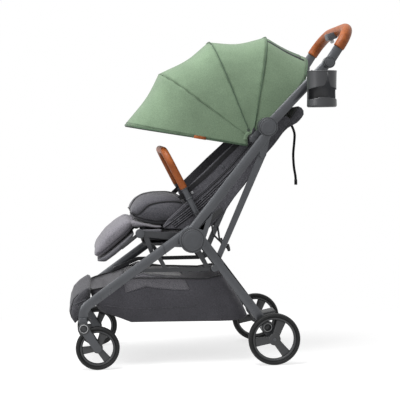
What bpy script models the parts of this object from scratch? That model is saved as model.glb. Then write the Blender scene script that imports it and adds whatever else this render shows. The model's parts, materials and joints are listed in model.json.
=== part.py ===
# Folding city stroller: chassis, seat, canopy, basket and wheels, in metres, +Z up.
# The front faces -Y and the child's left side is +X.

import math

import bmesh
import bpy
from mathutils import Matrix, Vector

# Clearances
GAP = 0.0003
PIN_PLAY = 0.0003

# Side layers, from the seat's half width outward: each has a centre X and a thickness T
SEAT_HALF = 0.1597
FRAME_T, STRUT_T, INNER_T, MID_T, MAIN_T = 0.006, 0.0055, 0.016, 0.016, 0.016
STRUT_STEP, INNER_STEP, LAYER_STEP = 0.0098, 0.0127, 0.018
FRAME_X = SEAT_HALF + GAP + FRAME_T / 2
STRUT_X = FRAME_X + STRUT_STEP
INNER_X = STRUT_X + INNER_STEP
MID_X = INNER_X + LAYER_STEP
MAIN_X = MID_X + LAYER_STEP
BAR_STEP = 0.0002
TUBE_DEPTH = 0.031
SKIN = 0.0004
LUG_INSET = 0.001

# Joint centres in the side view, as (y, z)
HUB = (-0.026, 0.402)
APEX = (0.214, 0.749)
TILT = (0.408, 0.947)
STRUT_TOP = (0.202, 0.661)
STRUT_FOOT = (0.045, 0.306)
CANOPY_PIVOT = (0.171, 0.712)
LEG_REST_PIVOT = (-0.186, 0.420)
CASTER_Y = -0.368
FORK_PIVOT = (-0.367, 0.1335)
ARM_PIVOT = (0.2106, 0.1174)

# Wheels: each tyre has a flat facet on the ground
WHEEL_SIDES = 24
FACET = math.cos(math.pi / WHEEL_SIDES)
REAR_R, REAR_W, REAR_X, REAR_Y = 0.083, 0.028, MAIN_X - 0.007, 0.2292
FRONT_R, FRONT_W, FRONT_Y = 0.069, 0.025, -0.325
REAR_Z = REAR_R * FACET
FRONT_Z = FRONT_R * FACET
TYRE_T = 0.0125
RIM_T = 0.0065
AXLE_R = 0.005

# Hubs and pins
HUB_R, HUB_CAP_R, CAP_T = 0.0405, 0.0335, 0.004
APEX_R, APEX_CAP_R = 0.0305, 0.0255
PIN_R = 0.006
TILT_R, TILT_PIN_R = 0.0185, 0.005

# Chassis members
MAIN_HUB_OFFSET, MAIN_APEX_OFFSET = 0.019, -0.012
FRONT_SEAM = (-0.1133, 0.3738)
FRONT_SLOPE = math.radians(35.4)
FOOT_Z, FOOT_BEND = 0.166, 0.042
REAR_HUB_OFFSET = 0.023
REAR_END_R = 0.0195
CROSS_R = 0.0105
FRONT_CROSS = (-0.3745, 0.192)
REAR_CROSS = (0.2035, 0.1275)
STRUT_R = 0.0085

# Seat
CUSHION_HALF = SEAT_HALF - 0.0237
SEAT_FRONT_Y, SEAT_REAR_Y, SEAT_Z, SEAT_T = -0.176, -0.032, 0.380, 0.008
BACK_BASE = (0.070, 0.463)
BACK_SLOPE = math.radians(53.1)
BACK_HALF = CUSHION_HALF
BACK_SHELL_T, BACK_BOARD_T, BACK_PAD_T = 0.005, 0.007, 0.028
BACK_LEN, BOARD_LEN = 0.37, 0.15
EAR_R = 0.0125
WING_GAP, WING_T = 0.0015, 0.0075
WING_IN = BACK_HALF + WING_GAP
WING_OUT = WING_IN + WING_T

# Bumper bar
BAR_X, BAR_R, BAR_GRIP_R = SEAT_HALF - 0.0022, 0.0102, 0.0106
BAR_BASE = (-0.008, 0.484)
BAR_TOP = (-0.1048, 0.6782)
BAR_COLLAR_L = 0.084
BAR_BEND = 0.05
SPIGOT_R, SOCKET_R, SPIGOT_L = 0.0080, 0.0117, 0.028

# Handle
GRIP_R, GRIP_BEND = 0.0173, 0.074
COLLAR_END = (0.438, 0.9923)
GRIP_REACH = 0.0785
BOX_SIZE, BOX_AT, BOX_TILT = (0.052, 0.030, 0.022), (0.4595, 1.0425), math.radians(15)
BUTTON_SIZE, BUTTON_OUT = (0.024, 0.014, 0.012), 0.0055

BUTTON_TRAVEL = 0.004

# Canopy: each bow is (name, direction in degrees, reach from the pivot, sag of the cloth behind it)
BOWS = (
    ("canopy_bow_rear", 79.0, 0.330, 0.013),
    ("canopy_bow_top", 111.0, 0.331, 0.0245),
    ("canopy_bow_mid", 143.0, 0.349, 0.0235),
    ("canopy_bow_front", 173.0, 0.395, 0.022),
)
CANOPY_END = (48.5, 0.322)
CANOPY_HALF, CANOPY_T, CANOPY_ROOT = SEAT_HALF + 0.0078, 0.002, 0.046
BOW_R, BOW_EYE_T, BOW_EYE_R = 0.003, 0.0048, 0.008
BOW_STEP = 0.0062
ARCH_STEPS = 14

# Cup holder
CUP_Y, CUP_TOP, CUP_BASE, CUP_R, CUP_WALL = 0.372, 0.9175, 0.8065, 0.046, 0.003
CUP_X = MID_X + 0.0795

# Basket
BASKET_HALF, BASKET_T = SEAT_HALF + 0.0058, 0.003
PANEL_HALF = BASKET_HALF + 0.0085


def colour(name, rgb, roughness=0.5, metallic=0.0):
    """A Principled material with one colour."""
    made = bpy.data.materials.new(name)
    made.use_nodes = True
    shader = made.node_tree.nodes["Principled BSDF"]
    shader.inputs["Base Color"].default_value = (*rgb, 1.0)
    shader.inputs["Roughness"].default_value = roughness
    shader.inputs["Metallic"].default_value = metallic
    made.diffuse_color = (*rgb, 1.0)
    return made


for old in list(bpy.data.objects):
    bpy.data.objects.remove(old)

PARTS = bpy.data.collections.new("stroller")
bpy.context.scene.collection.children.link(PARTS)

FRAME_PAINT = colour("frame_paint", (0.085, 0.088, 0.094), 0.42, 0.6)
PLASTIC = colour("moulded_plastic", (0.075, 0.078, 0.083), 0.5)
RUBBER = colour("tyre_rubber", (0.018, 0.019, 0.020), 0.8)
STEEL = colour("bright_steel", (0.62, 0.63, 0.64), 0.3, 1.0)
LEATHER = colour("leatherette", (0.33, 0.105, 0.022), 0.45)
GREEN = colour("canopy_cloth", (0.22, 0.33, 0.20), 0.85)
GREY_CLOTH = colour("seat_cloth", (0.10, 0.10, 0.11), 0.9)
PALE_CLOTH = colour("leg_rest_cloth", (0.27, 0.26, 0.28), 0.85)
DARK_CLOTH = colour("basket_cloth", (0.065, 0.064, 0.070), 0.9)
WEBBING = colour("webbing", (0.03, 0.03, 0.032), 0.85)
CLEAR = colour("button_plastic", (0.75, 0.76, 0.77), 0.3)


# Small geometry helpers


def toward(point, angle, along, across=0.0):
    """The point that lies along a direction in the side view, and to its left."""
    c, s = math.cos(angle), math.sin(angle)
    return (point[0] + along * c - across * s, point[1] + along * s + across * c)


def angle_of(start, end):
    return math.atan2(end[1] - start[1], end[0] - start[0])


def distance(start, end):
    return math.hypot(end[0] - start[0], end[1] - start[1])


def rounded(points, radius, steps=5):
    """A polyline with each inner corner turned into an arc."""
    points = [Vector(p) for p in points]
    out = [points[0]]
    for before, corner, after in zip(points, points[1:], points[2:]):
        into, away = (before - corner).normalized(), (after - corner).normalized()
        half = into.angle(away) / 2
        reach = radius / math.tan(half)
        centre = corner + (into + away).normalized() * (radius / math.sin(half))
        first, last = corner + into * reach, corner + away * reach
        start, sweep = first - centre, (first - centre).angle(last - centre)
        axis = start.cross(last - centre).normalized()
        for step in range(steps + 1):
            turn = Matrix.Rotation(sweep * step / steps, 3, axis)
            out.append(centre + turn @ start)
    return out + [points[-1]]


def solid(name, mesh, paint):
    """A new object in the parts collection, faces outward and shaded smooth."""
    shape = bmesh.new()
    shape.from_mesh(mesh)
    bmesh.ops.remove_doubles(shape, verts=shape.verts, dist=0.000002)
    bmesh.ops.recalc_face_normals(shape, faces=shape.faces)
    shape.to_mesh(mesh)
    shape.free()
    mesh.shade_smooth()
    mesh.set_sharp_from_angle(angle=math.radians(32))
    mesh.name = name
    mesh.materials.clear()
    mesh.materials.append(paint)
    made = bpy.data.objects.new(name, mesh)
    PARTS.objects.link(made)
    return made


def as_mesh(source):
    """The evaluated mesh of an object in world space; the object is removed."""
    bpy.context.view_layer.update()
    graph = bpy.context.evaluated_depsgraph_get()
    mesh = bpy.data.meshes.new_from_object(source.evaluated_get(graph))
    mesh.transform(source.matrix_world)
    bpy.data.objects.remove(source)
    return mesh


def tube(name, path, radius, paint, flat=None, sides=3):
    """A tube along a path, with closed ends. flat = (x, thickness) makes it an oval that stands on edge at x."""
    squash = 1.0 if flat is None else (flat[1] - 2 * SKIN) / (2 * radius)
    middle = 0.0 if flat is None else flat[0]
    line = bpy.data.curves.new(name, "CURVE")
    line.dimensions = "3D"
    line.bevel_depth = radius
    line.bevel_resolution = sides
    line.use_fill_caps = True
    spline = line.splines.new("POLY")
    spline.points.add(len(path) - 1)
    for knot, place in zip(spline.points, path):
        x, y, z = place
        knot.co = (middle + (x - middle) / squash, y, z, 1.0)
    holder = bpy.data.objects.new(name, line)
    PARTS.objects.link(holder)
    mesh = as_mesh(holder)
    for vertex in mesh.vertices:
        vertex.co.x = middle + (vertex.co.x - middle) * squash
    return solid(name, mesh, paint)


def flat_path(x, points):
    return [(x, y, z) for y, z in points]


def plate(name, outline, low, high, paint):
    """A flat outline in the side view, given thickness from x = low to x = high."""
    line = bpy.data.curves.new(name, "CURVE")
    line.dimensions = "2D"
    line.fill_mode = "BOTH"
    line.extrude = abs(high - low) / 2
    spline = line.splines.new("POLY")
    spline.points.add(len(outline) - 1)
    spline.use_cyclic_u = True
    for knot, (y, z) in zip(spline.points, outline):
        knot.co = (y, z, 0.0, 1.0)
    holder = bpy.data.objects.new(name, line)
    PARTS.objects.link(holder)
    holder.rotation_euler = (math.pi / 2, 0.0, math.pi / 2)
    holder.location.x = (low + high) / 2
    return solid(name, as_mesh(holder), paint)


def capsule(start, end, start_r, end_r, steps=4):
    """The outline round two circles, as a link or lever has."""
    way = angle_of(start, end)
    lean = math.acos((start_r - end_r) / distance(start, end))
    out = []
    for centre, radius, first, last in (
        (end, end_r, way - lean, way + lean),
        (start, start_r, way + lean, way - lean + 2 * math.pi),
    ):
        for step in range(steps + 1):
            turn = first + (last - first) * step / steps
            out.append(toward(centre, turn, radius))
    return out


def disc(name, x0, x1, centre, radius, paint, sides=20):
    """A cylinder along X from x0 to x1."""
    shape = bmesh.new()
    turn = Matrix.Rotation(math.pi / 2, 4, "Y")
    place = Matrix.Translation(((x0 + x1) / 2, centre[0], centre[1]))
    bmesh.ops.create_cone(
        shape,
        cap_ends=True,
        segments=sides,
        radius1=radius,
        radius2=radius,
        depth=abs(x1 - x0),
        matrix=place @ turn,
    )
    mesh = bpy.data.meshes.new(name)
    shape.to_mesh(mesh)
    shape.free()
    return solid(name, mesh, paint)


def rod(name, start, end, radius, paint, sides=14):
    """A cylinder between two points."""
    start, end = Vector(start), Vector(end)
    way = end - start
    shape = bmesh.new()
    turn = way.to_track_quat("Z", "Y").to_matrix().to_4x4()
    bmesh.ops.create_cone(
        shape,
        cap_ends=True,
        segments=sides,
        radius1=radius,
        radius2=radius,
        depth=way.length,
        matrix=Matrix.Translation((start + end) / 2) @ turn,
    )
    mesh = bpy.data.meshes.new(name)
    shape.to_mesh(mesh)
    shape.free()
    return solid(name, mesh, paint)


def block(name, centre, size, paint, tilt=0.0, soften=0.0):
    """A box turned about X by tilt, with its edges rounded by soften."""
    shape = bmesh.new()
    bmesh.ops.create_cube(shape, size=1.0)
    bmesh.ops.scale(shape, vec=size, verts=shape.verts)
    if soften:
        bmesh.ops.bevel(
            shape,
            geom=list(shape.edges),
            offset=soften,
            segments=2,
            profile=0.5,
            affect="EDGES",
        )
    place = Matrix.Translation(centre) @ Matrix.Rotation(tilt, 4, "X")
    bmesh.ops.transform(shape, matrix=place, verts=shape.verts)
    mesh = bpy.data.meshes.new(name)
    shape.to_mesh(mesh)
    shape.free()
    return solid(name, mesh, paint)


def pillow(name, centre, size, paint, tilt=0.0, edge=0.35, pull=0.05, cuts=5):
    """A crowned cushion: full in the middle, thin at its seam, sides drawn in between the corners."""
    shape = bmesh.new()
    bmesh.ops.create_cube(shape, size=2.0)
    bmesh.ops.subdivide_edges(shape, edges=shape.edges, cuts=cuts, use_grid_fill=True)
    for vertex in shape.verts:
        u, v, w = vertex.co
        full = max(0.0, (1 - u**4) * (1 - v**4)) ** 0.5
        across = 1 - pull * (1 - v * v)
        along = 1 - pull * (1 - u * u)
        w *= edge + (1 - edge) * full
        vertex.co = (u * across * size[0] / 2, v * along * size[1] / 2, w * size[2] / 2)
    place = Matrix.Translation(centre) @ Matrix.Rotation(tilt, 4, "X")
    bmesh.ops.transform(shape, matrix=place, verts=shape.verts)
    mesh = bpy.data.meshes.new(name)
    shape.to_mesh(mesh)
    shape.free()
    return solid(name, mesh, paint)


def combine(target, tool, how):
    """Joins the tool to the target, or cuts it out; the tool is removed."""
    step = target.modifiers.new(how, "BOOLEAN")
    step.operation = how
    step.solver = "EXACT"
    step.object = tool
    name, paint = target.name, target.data.materials[0]
    mesh = as_mesh(target)
    bpy.data.objects.remove(tool)
    return solid(name, mesh, paint)


def join(target, *tools):
    for tool in tools:
        target = combine(target, tool, "UNION")
    return target


def cut(target, *tools):
    for tool in tools:
        target = combine(target, tool, "DIFFERENCE")
    return target


def turned(name, profile, x, centre, paint, sides=WHEEL_SIDES):
    """A ring turned about an axle along X. The closed profile holds (radius, offset from x); a facet faces down."""
    mesh = bpy.data.meshes.new(name)
    first = math.pi / sides
    points = [
        (x + across, centre[0] - r * math.sin(first), centre[1] - r * math.cos(first))
        for r, across in profile
    ]
    edges = [(n, (n + 1) % len(profile)) for n in range(len(profile))]
    mesh.from_pydata([(p[0] - x, p[1] - centre[0], p[2] - centre[1]) for p in points], edges, [])
    holder = bpy.data.objects.new(name, mesh)
    PARTS.objects.link(holder)
    screw = holder.modifiers.new("turn", "SCREW")
    screw.axis = "X"
    screw.steps = sides
    screw.render_steps = sides
    screw.use_merge_vertices = True
    screw.merge_threshold = 0.00001
    holder.location = (x, *centre)
    return solid(name, as_mesh(holder), paint)


# Every moving group hangs from an empty on its joint's axis

ORIGIN = bpy.data.objects.new("stroller_origin", None)
PARTS.objects.link(ORIGIN)


def pivot(name, place, parent=ORIGIN):
    """An empty at a joint's centre, under the body that carries it."""
    made = bpy.data.objects.new(name, None)
    made.empty_display_size = 0.02
    PARTS.objects.link(made)
    made.parent = parent
    base = Vector() if parent is ORIGIN else PIVOT_AT[parent.name]
    made.location = Vector(place) - base
    PIVOT_AT[name] = Vector(place)
    return made


PIVOT_AT = {}


def hang(part, holder):
    """Puts the part's origin on its holder's axis and parents it there."""
    if holder is not ORIGIN:
        part.data.transform(Matrix.Translation(-PIVOT_AT[holder.name]))
    part.parent = holder
    return part


SIDES = (("left", 1.0), ("right", -1.0))
CHASSIS = ORIGIN
MAIN = pivot("main_pivot", (0.0, *HUB))
HANDLE = pivot("handle_pivot", (0.0, *APEX), MAIN)
STRUTS = pivot("strut_pivot", (0.0, *STRUT_TOP), HANDLE)
TILTING = pivot("tilt_pivot", (0.0, *TILT), HANDLE)
REAR = pivot("rear_pivot", (0.0, *HUB))
BACK = pivot("recline_pivot", (0.0, *HUB), MAIN)
LEG_REST = pivot("leg_rest_pivot", (0.0, *LEG_REST_PIVOT))
BAR = pivot("bumper_socket", (0.0, *BAR_BASE))

main_angle = angle_of(
    toward(HUB, angle_of(HUB, APEX), 0.0, MAIN_HUB_OFFSET),
    toward(APEX, angle_of(HUB, APEX), 0.0, MAIN_APEX_OFFSET),
)
handle_angle = angle_of(APEX, TILT)
rear_angle = angle_of(
    toward(HUB, angle_of(HUB, ARM_PIVOT), 0.0, REAR_HUB_OFFSET), ARM_PIVOT
)
leg_angle = math.pi + FRONT_SLOPE
collar_angle = angle_of(TILT, COLLAR_END)
bar_angle = angle_of(BAR_BASE, BAR_TOP)

MAIN_LOW, MAIN_HIGH = MAIN_X - MAIN_T / 2, MAIN_X + MAIN_T / 2
MID_LOW, MID_HIGH = MID_X - MID_T / 2, MID_X + MID_T / 2
INNER_LOW, INNER_HIGH = INNER_X - INNER_T / 2, INNER_X + INNER_T / 2
STRUT_LOW, STRUT_HIGH = STRUT_X - STRUT_T / 2, STRUT_X + STRUT_T / 2
FRAME_LOW, FRAME_HIGH = FRAME_X - FRAME_T / 2, FRAME_X + FRAME_T / 2
COLLAR_LOW, COLLAR_HIGH = MID_HIGH + GAP, MAIN_HIGH
COLLAR_X, COLLAR_T = (COLLAR_LOW + COLLAR_HIGH) / 2, COLLAR_HIGH - COLLAR_LOW
EAR_LOW, EAR_HIGH = BACK_HALF - 0.006, FRAME_LOW - 0.0145
HANGER_FRONT, HANGER_REAR, HANGER_R = (-0.262, 0.2695), (-0.182, 0.3031), 0.0064


def front_leg(side, s):
    """The oval front leg, bent down to the caster's foot, pressed into its moulded hub."""
    corner_z = FRONT_SEAM[1] - (FRONT_SEAM[0] - CASTER_Y) * math.tan(FRONT_SLOPE)
    top = toward(FRONT_SEAM, leg_angle, -0.105)
    route = rounded(
        flat_path(s * MID_X, [top, (CASTER_Y, corner_z), (CASTER_Y, FOOT_Z)]), FOOT_BEND
    )
    leg = tube(f"front_leg_{side}", route, TUBE_DEPTH / 2, FRAME_PAINT, (s * MID_X, MID_T))
    hub = disc("hub", s * MID_LOW, s * MID_HIGH, HUB, HUB_R, PLASTIC, 24)
    web = plate(
        "web",
        [toward(HUB, leg_angle + math.pi / 2, HUB_R * 0.8), HUB, toward(FRONT_SEAM, leg_angle, -0.012)],
        s * (MID_X - 0.005),
        s * (MID_X + 0.005),
        PLASTIC,
    )
    leg = join(leg, hub, web)
    bore = disc("bore", s * (MID_LOW - 0.01), s * (MID_HIGH + 0.01), HUB, PIN_R + PIN_PLAY, PLASTIC, 12)
    hang(cut(leg, bore), CHASSIS)


def hub_pin(side, s):
    """The hub's pin, from the rear leg's ring out to the round cap."""
    pin = disc(f"hub_pin_{side}", s * INNER_LOW, s * (MAIN_HIGH + 0.002), HUB, PIN_R, STEEL, 12)
    cap = disc("cap", s * (MAIN_HIGH + GAP), s * (MAIN_HIGH + CAP_T), HUB, HUB_CAP_R, PLASTIC, 24)
    hang(join(pin, cap), CHASSIS)


def seat_side_frame(side, s):
    """The flat side frame that carries the seat, backrest, leg rest and bumper bar on the front leg's stub."""
    low, high = s * FRAME_LOW, s * FRAME_HIGH
    front_low, rear_low = (-0.106, 0.303), (0.028, 0.303)
    frame = plate(f"seat_side_frame_{side}", capsule(HUB, LEG_REST_PIVOT, 0.013, 0.0085), low, high, FRAME_PAINT)
    bars = (
        ((-0.168, 0.411), (-0.150, 0.360), 0.0085, 0.0065),
        ((-0.150, 0.360), (-0.124, 0.338), 0.0065, 0.0065),
        ((-0.124, 0.338), front_low, 0.0065, 0.0065),
        (HANGER_REAR, rear_low, HANGER_R, HANGER_R),
        (HANGER_FRONT, HANGER_REAR, HANGER_R, HANGER_R - 2 * BAR_STEP),
        (rear_low, HUB, 0.0065, 0.010),
        (HUB, toward(BAR_BASE, bar_angle, -SPIGOT_L / 2), 0.010, 0.008),
    )
    for n, (start, end, start_r, end_r) in enumerate(bars):
        step = s * BAR_STEP * (n + 1)
        outline = capsule(start, end, start_r - BAR_STEP, end_r + BAR_STEP, 3)
        bar = plate("bar", outline, low + step, high - step, FRAME_PAINT)
        frame = join(frame, bar)
    socket_top = toward(BAR_BASE, bar_angle, -GAP)
    socket_foot = toward(BAR_BASE, bar_angle, -SPIGOT_L - 0.004)
    socket = rod("socket", (s * BAR_X, *socket_foot), (s * BAR_X, *socket_top), SOCKET_R, PLASTIC)
    knob = disc("knob", s * FRAME_LOW, s * (FRAME_HIGH + 0.003), LEG_REST_PIVOT, 0.0145, PLASTIC, 18)
    stub = disc("stub", s * FRAME_X, s * (MID_LOW + SKIN - GAP), HANGER_FRONT, HANGER_R - 0.0005, STEEL, 10)
    hinge = disc("hinge", s * (EAR_LOW + 0.001), s * (FRAME_LOW + 0.002), HUB, PIN_R, STEEL, 12)
    frame = join(frame, socket, knob, stub, hinge)
    bore_foot = toward(BAR_BASE, bar_angle, -SPIGOT_L - GAP)
    bore_top = toward(BAR_BASE, bar_angle, 0.01)
    frame = cut(
        frame,
        rod("bore", (s * BAR_X, *bore_foot), (s * BAR_X, *bore_top), SPIGOT_R + PIN_PLAY, PLASTIC),
        disc("bore", s * (FRAME_LOW - 0.01), s * (FRAME_HIGH + 0.01), LEG_REST_PIVOT, 0.004 + PIN_PLAY, PLASTIC, 10),
    )
    hang(frame, CHASSIS)


def main_tube(side, s):
    """The long tube from the hub up to the fold pivot, with its round housings."""
    start = toward(HUB, main_angle, 0.0, MAIN_HUB_OFFSET)
    end = toward(APEX, main_angle, 0.0, MAIN_APEX_OFFSET)
    body = tube(
        f"main_tube_{side}",
        flat_path(s * MAIN_X, [start, end]),
        TUBE_DEPTH / 2,
        FRAME_PAINT,
        (s * MAIN_X, MAIN_T),
    )
    lower = disc("lower", s * MAIN_LOW, s * MAIN_HIGH, HUB, HUB_R, PLASTIC, 24)
    upper = disc("upper", s * MAIN_LOW, s * MAIN_HIGH, APEX, APEX_R, PLASTIC, 20)
    rear_edge = [toward(HUB, main_angle, 0.0, -HUB_R * 0.97), toward(HUB, main_angle, 0.05, -0.0215)]
    rear_edge += [toward(HUB, main_angle, 0.105, MAIN_HUB_OFFSET - 0.018), toward(HUB, main_angle, 0.0, 0.01)]
    gusset = plate("gusset", rear_edge, s * (MAIN_X - 0.006), s * (MAIN_X + 0.006), PLASTIC)
    body = join(body, lower, upper, gusset)
    body = cut(
        body,
        disc("bore", s * (MAIN_LOW - 0.01), s * (MAIN_HIGH + 0.01), HUB, PIN_R + PIN_PLAY, PLASTIC, 12),
        disc("bore", s * (MAIN_LOW - 0.01), s * (MAIN_HIGH + 0.01), APEX, PIN_R + PIN_PLAY, PLASTIC, 12),
    )
    hang(body, MAIN)


def fold_pin(side, s):
    """The upper pivot's pin and round cap."""
    pin = disc(f"fold_pin_{side}", s * INNER_LOW, s * (MAIN_HIGH + 0.002), APEX, PIN_R, STEEL, 12)
    cap = disc("cap", s * (MAIN_HIGH + GAP), s * (MAIN_HIGH + CAP_T), APEX, APEX_CAP_R, PLASTIC, 20)
    hang(join(pin, cap), MAIN)


def handle_tube(side, s):
    """The upper tube with its pivot housing, the strut's lever, the canopy's arm and the tilt lug."""
    body = tube(
        f"handle_tube_{side}",
        flat_path(s * MID_X, [APEX, TILT]),
        TUBE_DEPTH / 2,
        FRAME_PAINT,
        (s * MID_X, MID_T),
    )
    housing = disc("housing", s * (INNER_LOW + 0.004), s * MID_HIGH, APEX, APEX_R - 0.001, PLASTIC)
    lever = plate("lever", capsule(APEX, STRUT_TOP, 0.020, 0.0105), s * INNER_LOW, s * (INNER_HIGH - 0.004), PLASTIC)
    arm_low, arm_high = s * (INNER_LOW + 0.0005), s * (INNER_HIGH - 0.003)
    canopy_arm = plate("arm", capsule(APEX, CANOPY_PIVOT, 0.015, 0.010), arm_low, arm_high, PLASTIC)
    lug = disc("lug", s * MID_LOW, s * MID_HIGH, TILT, TILT_R - 0.001, PLASTIC, 20)
    strut_pin = disc("pin", s * (STRUT_LOW - 0.0015), s * (INNER_LOW + 0.003), STRUT_TOP, 0.004, STEEL, 10)
    first_eye = INNER_LOW - GAP - len(BOWS) * BOW_STEP
    canopy_pin = disc("pin", s * first_eye, s * (INNER_LOW + 0.003), CANOPY_PIVOT, 0.003, STEEL, 10)
    body = join(body, housing, lever, canopy_arm, lug, strut_pin, canopy_pin)
    body = cut(
        body,
        disc("bore", s * (INNER_LOW - 0.01), s * (MID_HIGH + 0.01), APEX, PIN_R + PIN_PLAY, PLASTIC, 12),
        disc("bore", s * (MID_LOW - 0.01), s * (MID_HIGH + 0.01), TILT, TILT_PIN_R + PIN_PLAY, PLASTIC, 10),
    )
    hang(body, HANDLE)


def strut(side, s):
    """The flat bar from the lever down to the rear leg's lug; its foot is the open pivot."""
    outline = capsule(STRUT_TOP, STRUT_FOOT, STRUT_R + 0.003, STRUT_R)
    bar = plate(f"strut_{side}", outline, s * STRUT_LOW, s * STRUT_HIGH, FRAME_PAINT)
    bore = disc("bore", s * (STRUT_LOW - 0.01), s * (STRUT_HIGH + 0.01), STRUT_TOP, 0.004 + PIN_PLAY, PLASTIC, 10)
    hang(cut(bar, bore), STRUTS)


def rear_leg(side, s):
    """The rear leg, from its ring on the hub pin to the suspension pivot."""
    start = toward(HUB, rear_angle, 0.004, REAR_HUB_OFFSET)
    body = tube(
        f"rear_leg_{side}",
        flat_path(s * INNER_X, [start, ARM_PIVOT]),
        TUBE_DEPTH / 2,
        FRAME_PAINT,
        (s * INNER_X, INNER_T),
    )
    ring = disc("ring", s * INNER_LOW, s * INNER_HIGH, HUB, HUB_R - 0.004, PLASTIC)
    end = disc("end", s * INNER_LOW, s * INNER_HIGH, ARM_PIVOT, REAR_END_R, PLASTIC, 18)
    on_leg = toward(HUB, rear_angle, distance(HUB, STRUT_FOOT), REAR_HUB_OFFSET)
    lug_low, lug_high = s * (INNER_LOW + LUG_INSET), s * (INNER_HIGH - 0.003)
    lug = plate("lug", capsule(on_leg, STRUT_FOOT, 0.014, 0.010), lug_low, lug_high, PLASTIC)
    boss = disc("boss", s * (STRUT_HIGH + GAP), s * (INNER_LOW + 0.004), STRUT_FOOT, 0.0088, PLASTIC, 14)
    body = join(body, ring, end, lug, boss)
    body = cut(
        body,
        disc("bore", s * (INNER_LOW - 0.01), s * (INNER_HIGH + 0.01), HUB, PIN_R + PIN_PLAY, PLASTIC, 12),
        disc("bore", s * (INNER_LOW - 0.01), s * (INNER_HIGH + 0.01), ARM_PIVOT, AXLE_R + PIN_PLAY, PLASTIC, 10),
    )
    hang(body, REAR)


def cross_tubes():
    """The tubes that tie the left and right sides together."""
    reach = MID_LOW - GAP
    front = tube("front_cross_tube", [(-reach, *FRONT_CROSS), (reach, *FRONT_CROSS)], CROSS_R, FRAME_PAINT)
    hang(front, CHASSIS)
    reach = INNER_LOW - GAP
    rear = tube("rear_cross_tube", [(-reach, *REAR_CROSS), (reach, *REAR_CROSS)], CROSS_R, FRAME_PAINT)
    hang(rear, REAR)


def brake_pedal():
    """The foot brake: a collar on the rear cross tube with its pedal behind."""
    holder = pivot("brake_pivot", (0.0, *REAR_CROSS), REAR)
    half = 0.034
    pedal_at = toward(REAR_CROSS, math.radians(12), 0.034)
    pedal = block("brake_pedal", (0.0, *pedal_at), (2 * half, 0.052, 0.007), PLASTIC, math.radians(12), 0.002)
    collar = disc("collar", -half, half, REAR_CROSS, CROSS_R + 0.005, PLASTIC, 18)
    pedal = join(pedal, collar)
    pedal = cut(pedal, disc("bore", -half - 0.01, half + 0.01, REAR_CROSS, CROSS_R + PIN_PLAY, PLASTIC, 18))
    hang(pedal, holder)


def wheel(name, parent, x, centre, radius, width):
    """A tyre and a three-spoke wheel that turn together on an axle."""
    holder = pivot(f"{name}_axle", (x, *centre), parent)
    inner, half = radius - TYRE_T, width / 2
    tread = [
        (inner, -half * 0.8),
        (inner, half * 0.8),
        (radius - 0.006, half),
        (radius, half * 0.42),
        (radius, -half * 0.42),
        (radius - 0.006, -half),
    ]
    hang(turned(f"{name}_tyre", tread, x, centre, RUBBER), holder)
    seat, web = inner - GAP, half * 0.58
    ring = [(seat - RIM_T, -web), (seat - RIM_T, web), (seat, web), (seat, -web)]
    rim = turned(f"{name}_wheel", ring, x, centre, PLASTIC)
    hub = disc("hub", x - half * 0.9, x + half * 0.9, centre, radius * 0.20, PLASTIC, 16)
    spokes = []
    for n in range(3):
        turn = math.radians(72 + 120 * n)
        middle = toward(centre, turn, (seat - RIM_T / 2) / 2)
        length = seat - RIM_T / 2
        spokes.append(
            block(f"spoke_{n}", (x, *middle), (web * 1.3, length, radius * 0.24), PLASTIC, turn)
        )
    rim = join(rim, hub, *spokes)
    rim = cut(rim, disc("bore", x - 0.04, x + 0.04, centre, AXLE_R + PIN_PLAY, PLASTIC, 10))
    hang(rim, holder)


def rear_suspension(side, s):
    """The sprung arm that carries the rear wheel on its axle."""
    holder = pivot(f"rear_arm_pivot_{side}", (0.0, *ARM_PIVOT), REAR)
    centre = (REAR_Y, REAR_Z)
    low, high = INNER_HIGH + GAP, REAR_X - REAR_W / 2 * 0.9 - GAP
    arm = plate(f"rear_arm_{side}", capsule(ARM_PIVOT, centre, 0.0195, 0.013), s * low, s * high, PLASTIC)
    pin = disc("pin", s * (INNER_LOW + 0.001), s * (low + 0.001), ARM_PIVOT, AXLE_R, STEEL, 10)
    axle = disc("axle", s * (high - 0.001), s * (REAR_X + REAR_W / 2), centre, AXLE_R, STEEL, 10)
    hang(join(arm, pin, axle), holder)
    wheel(f"rear_{side}", holder, s * REAR_X, centre, REAR_R, REAR_W)


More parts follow.
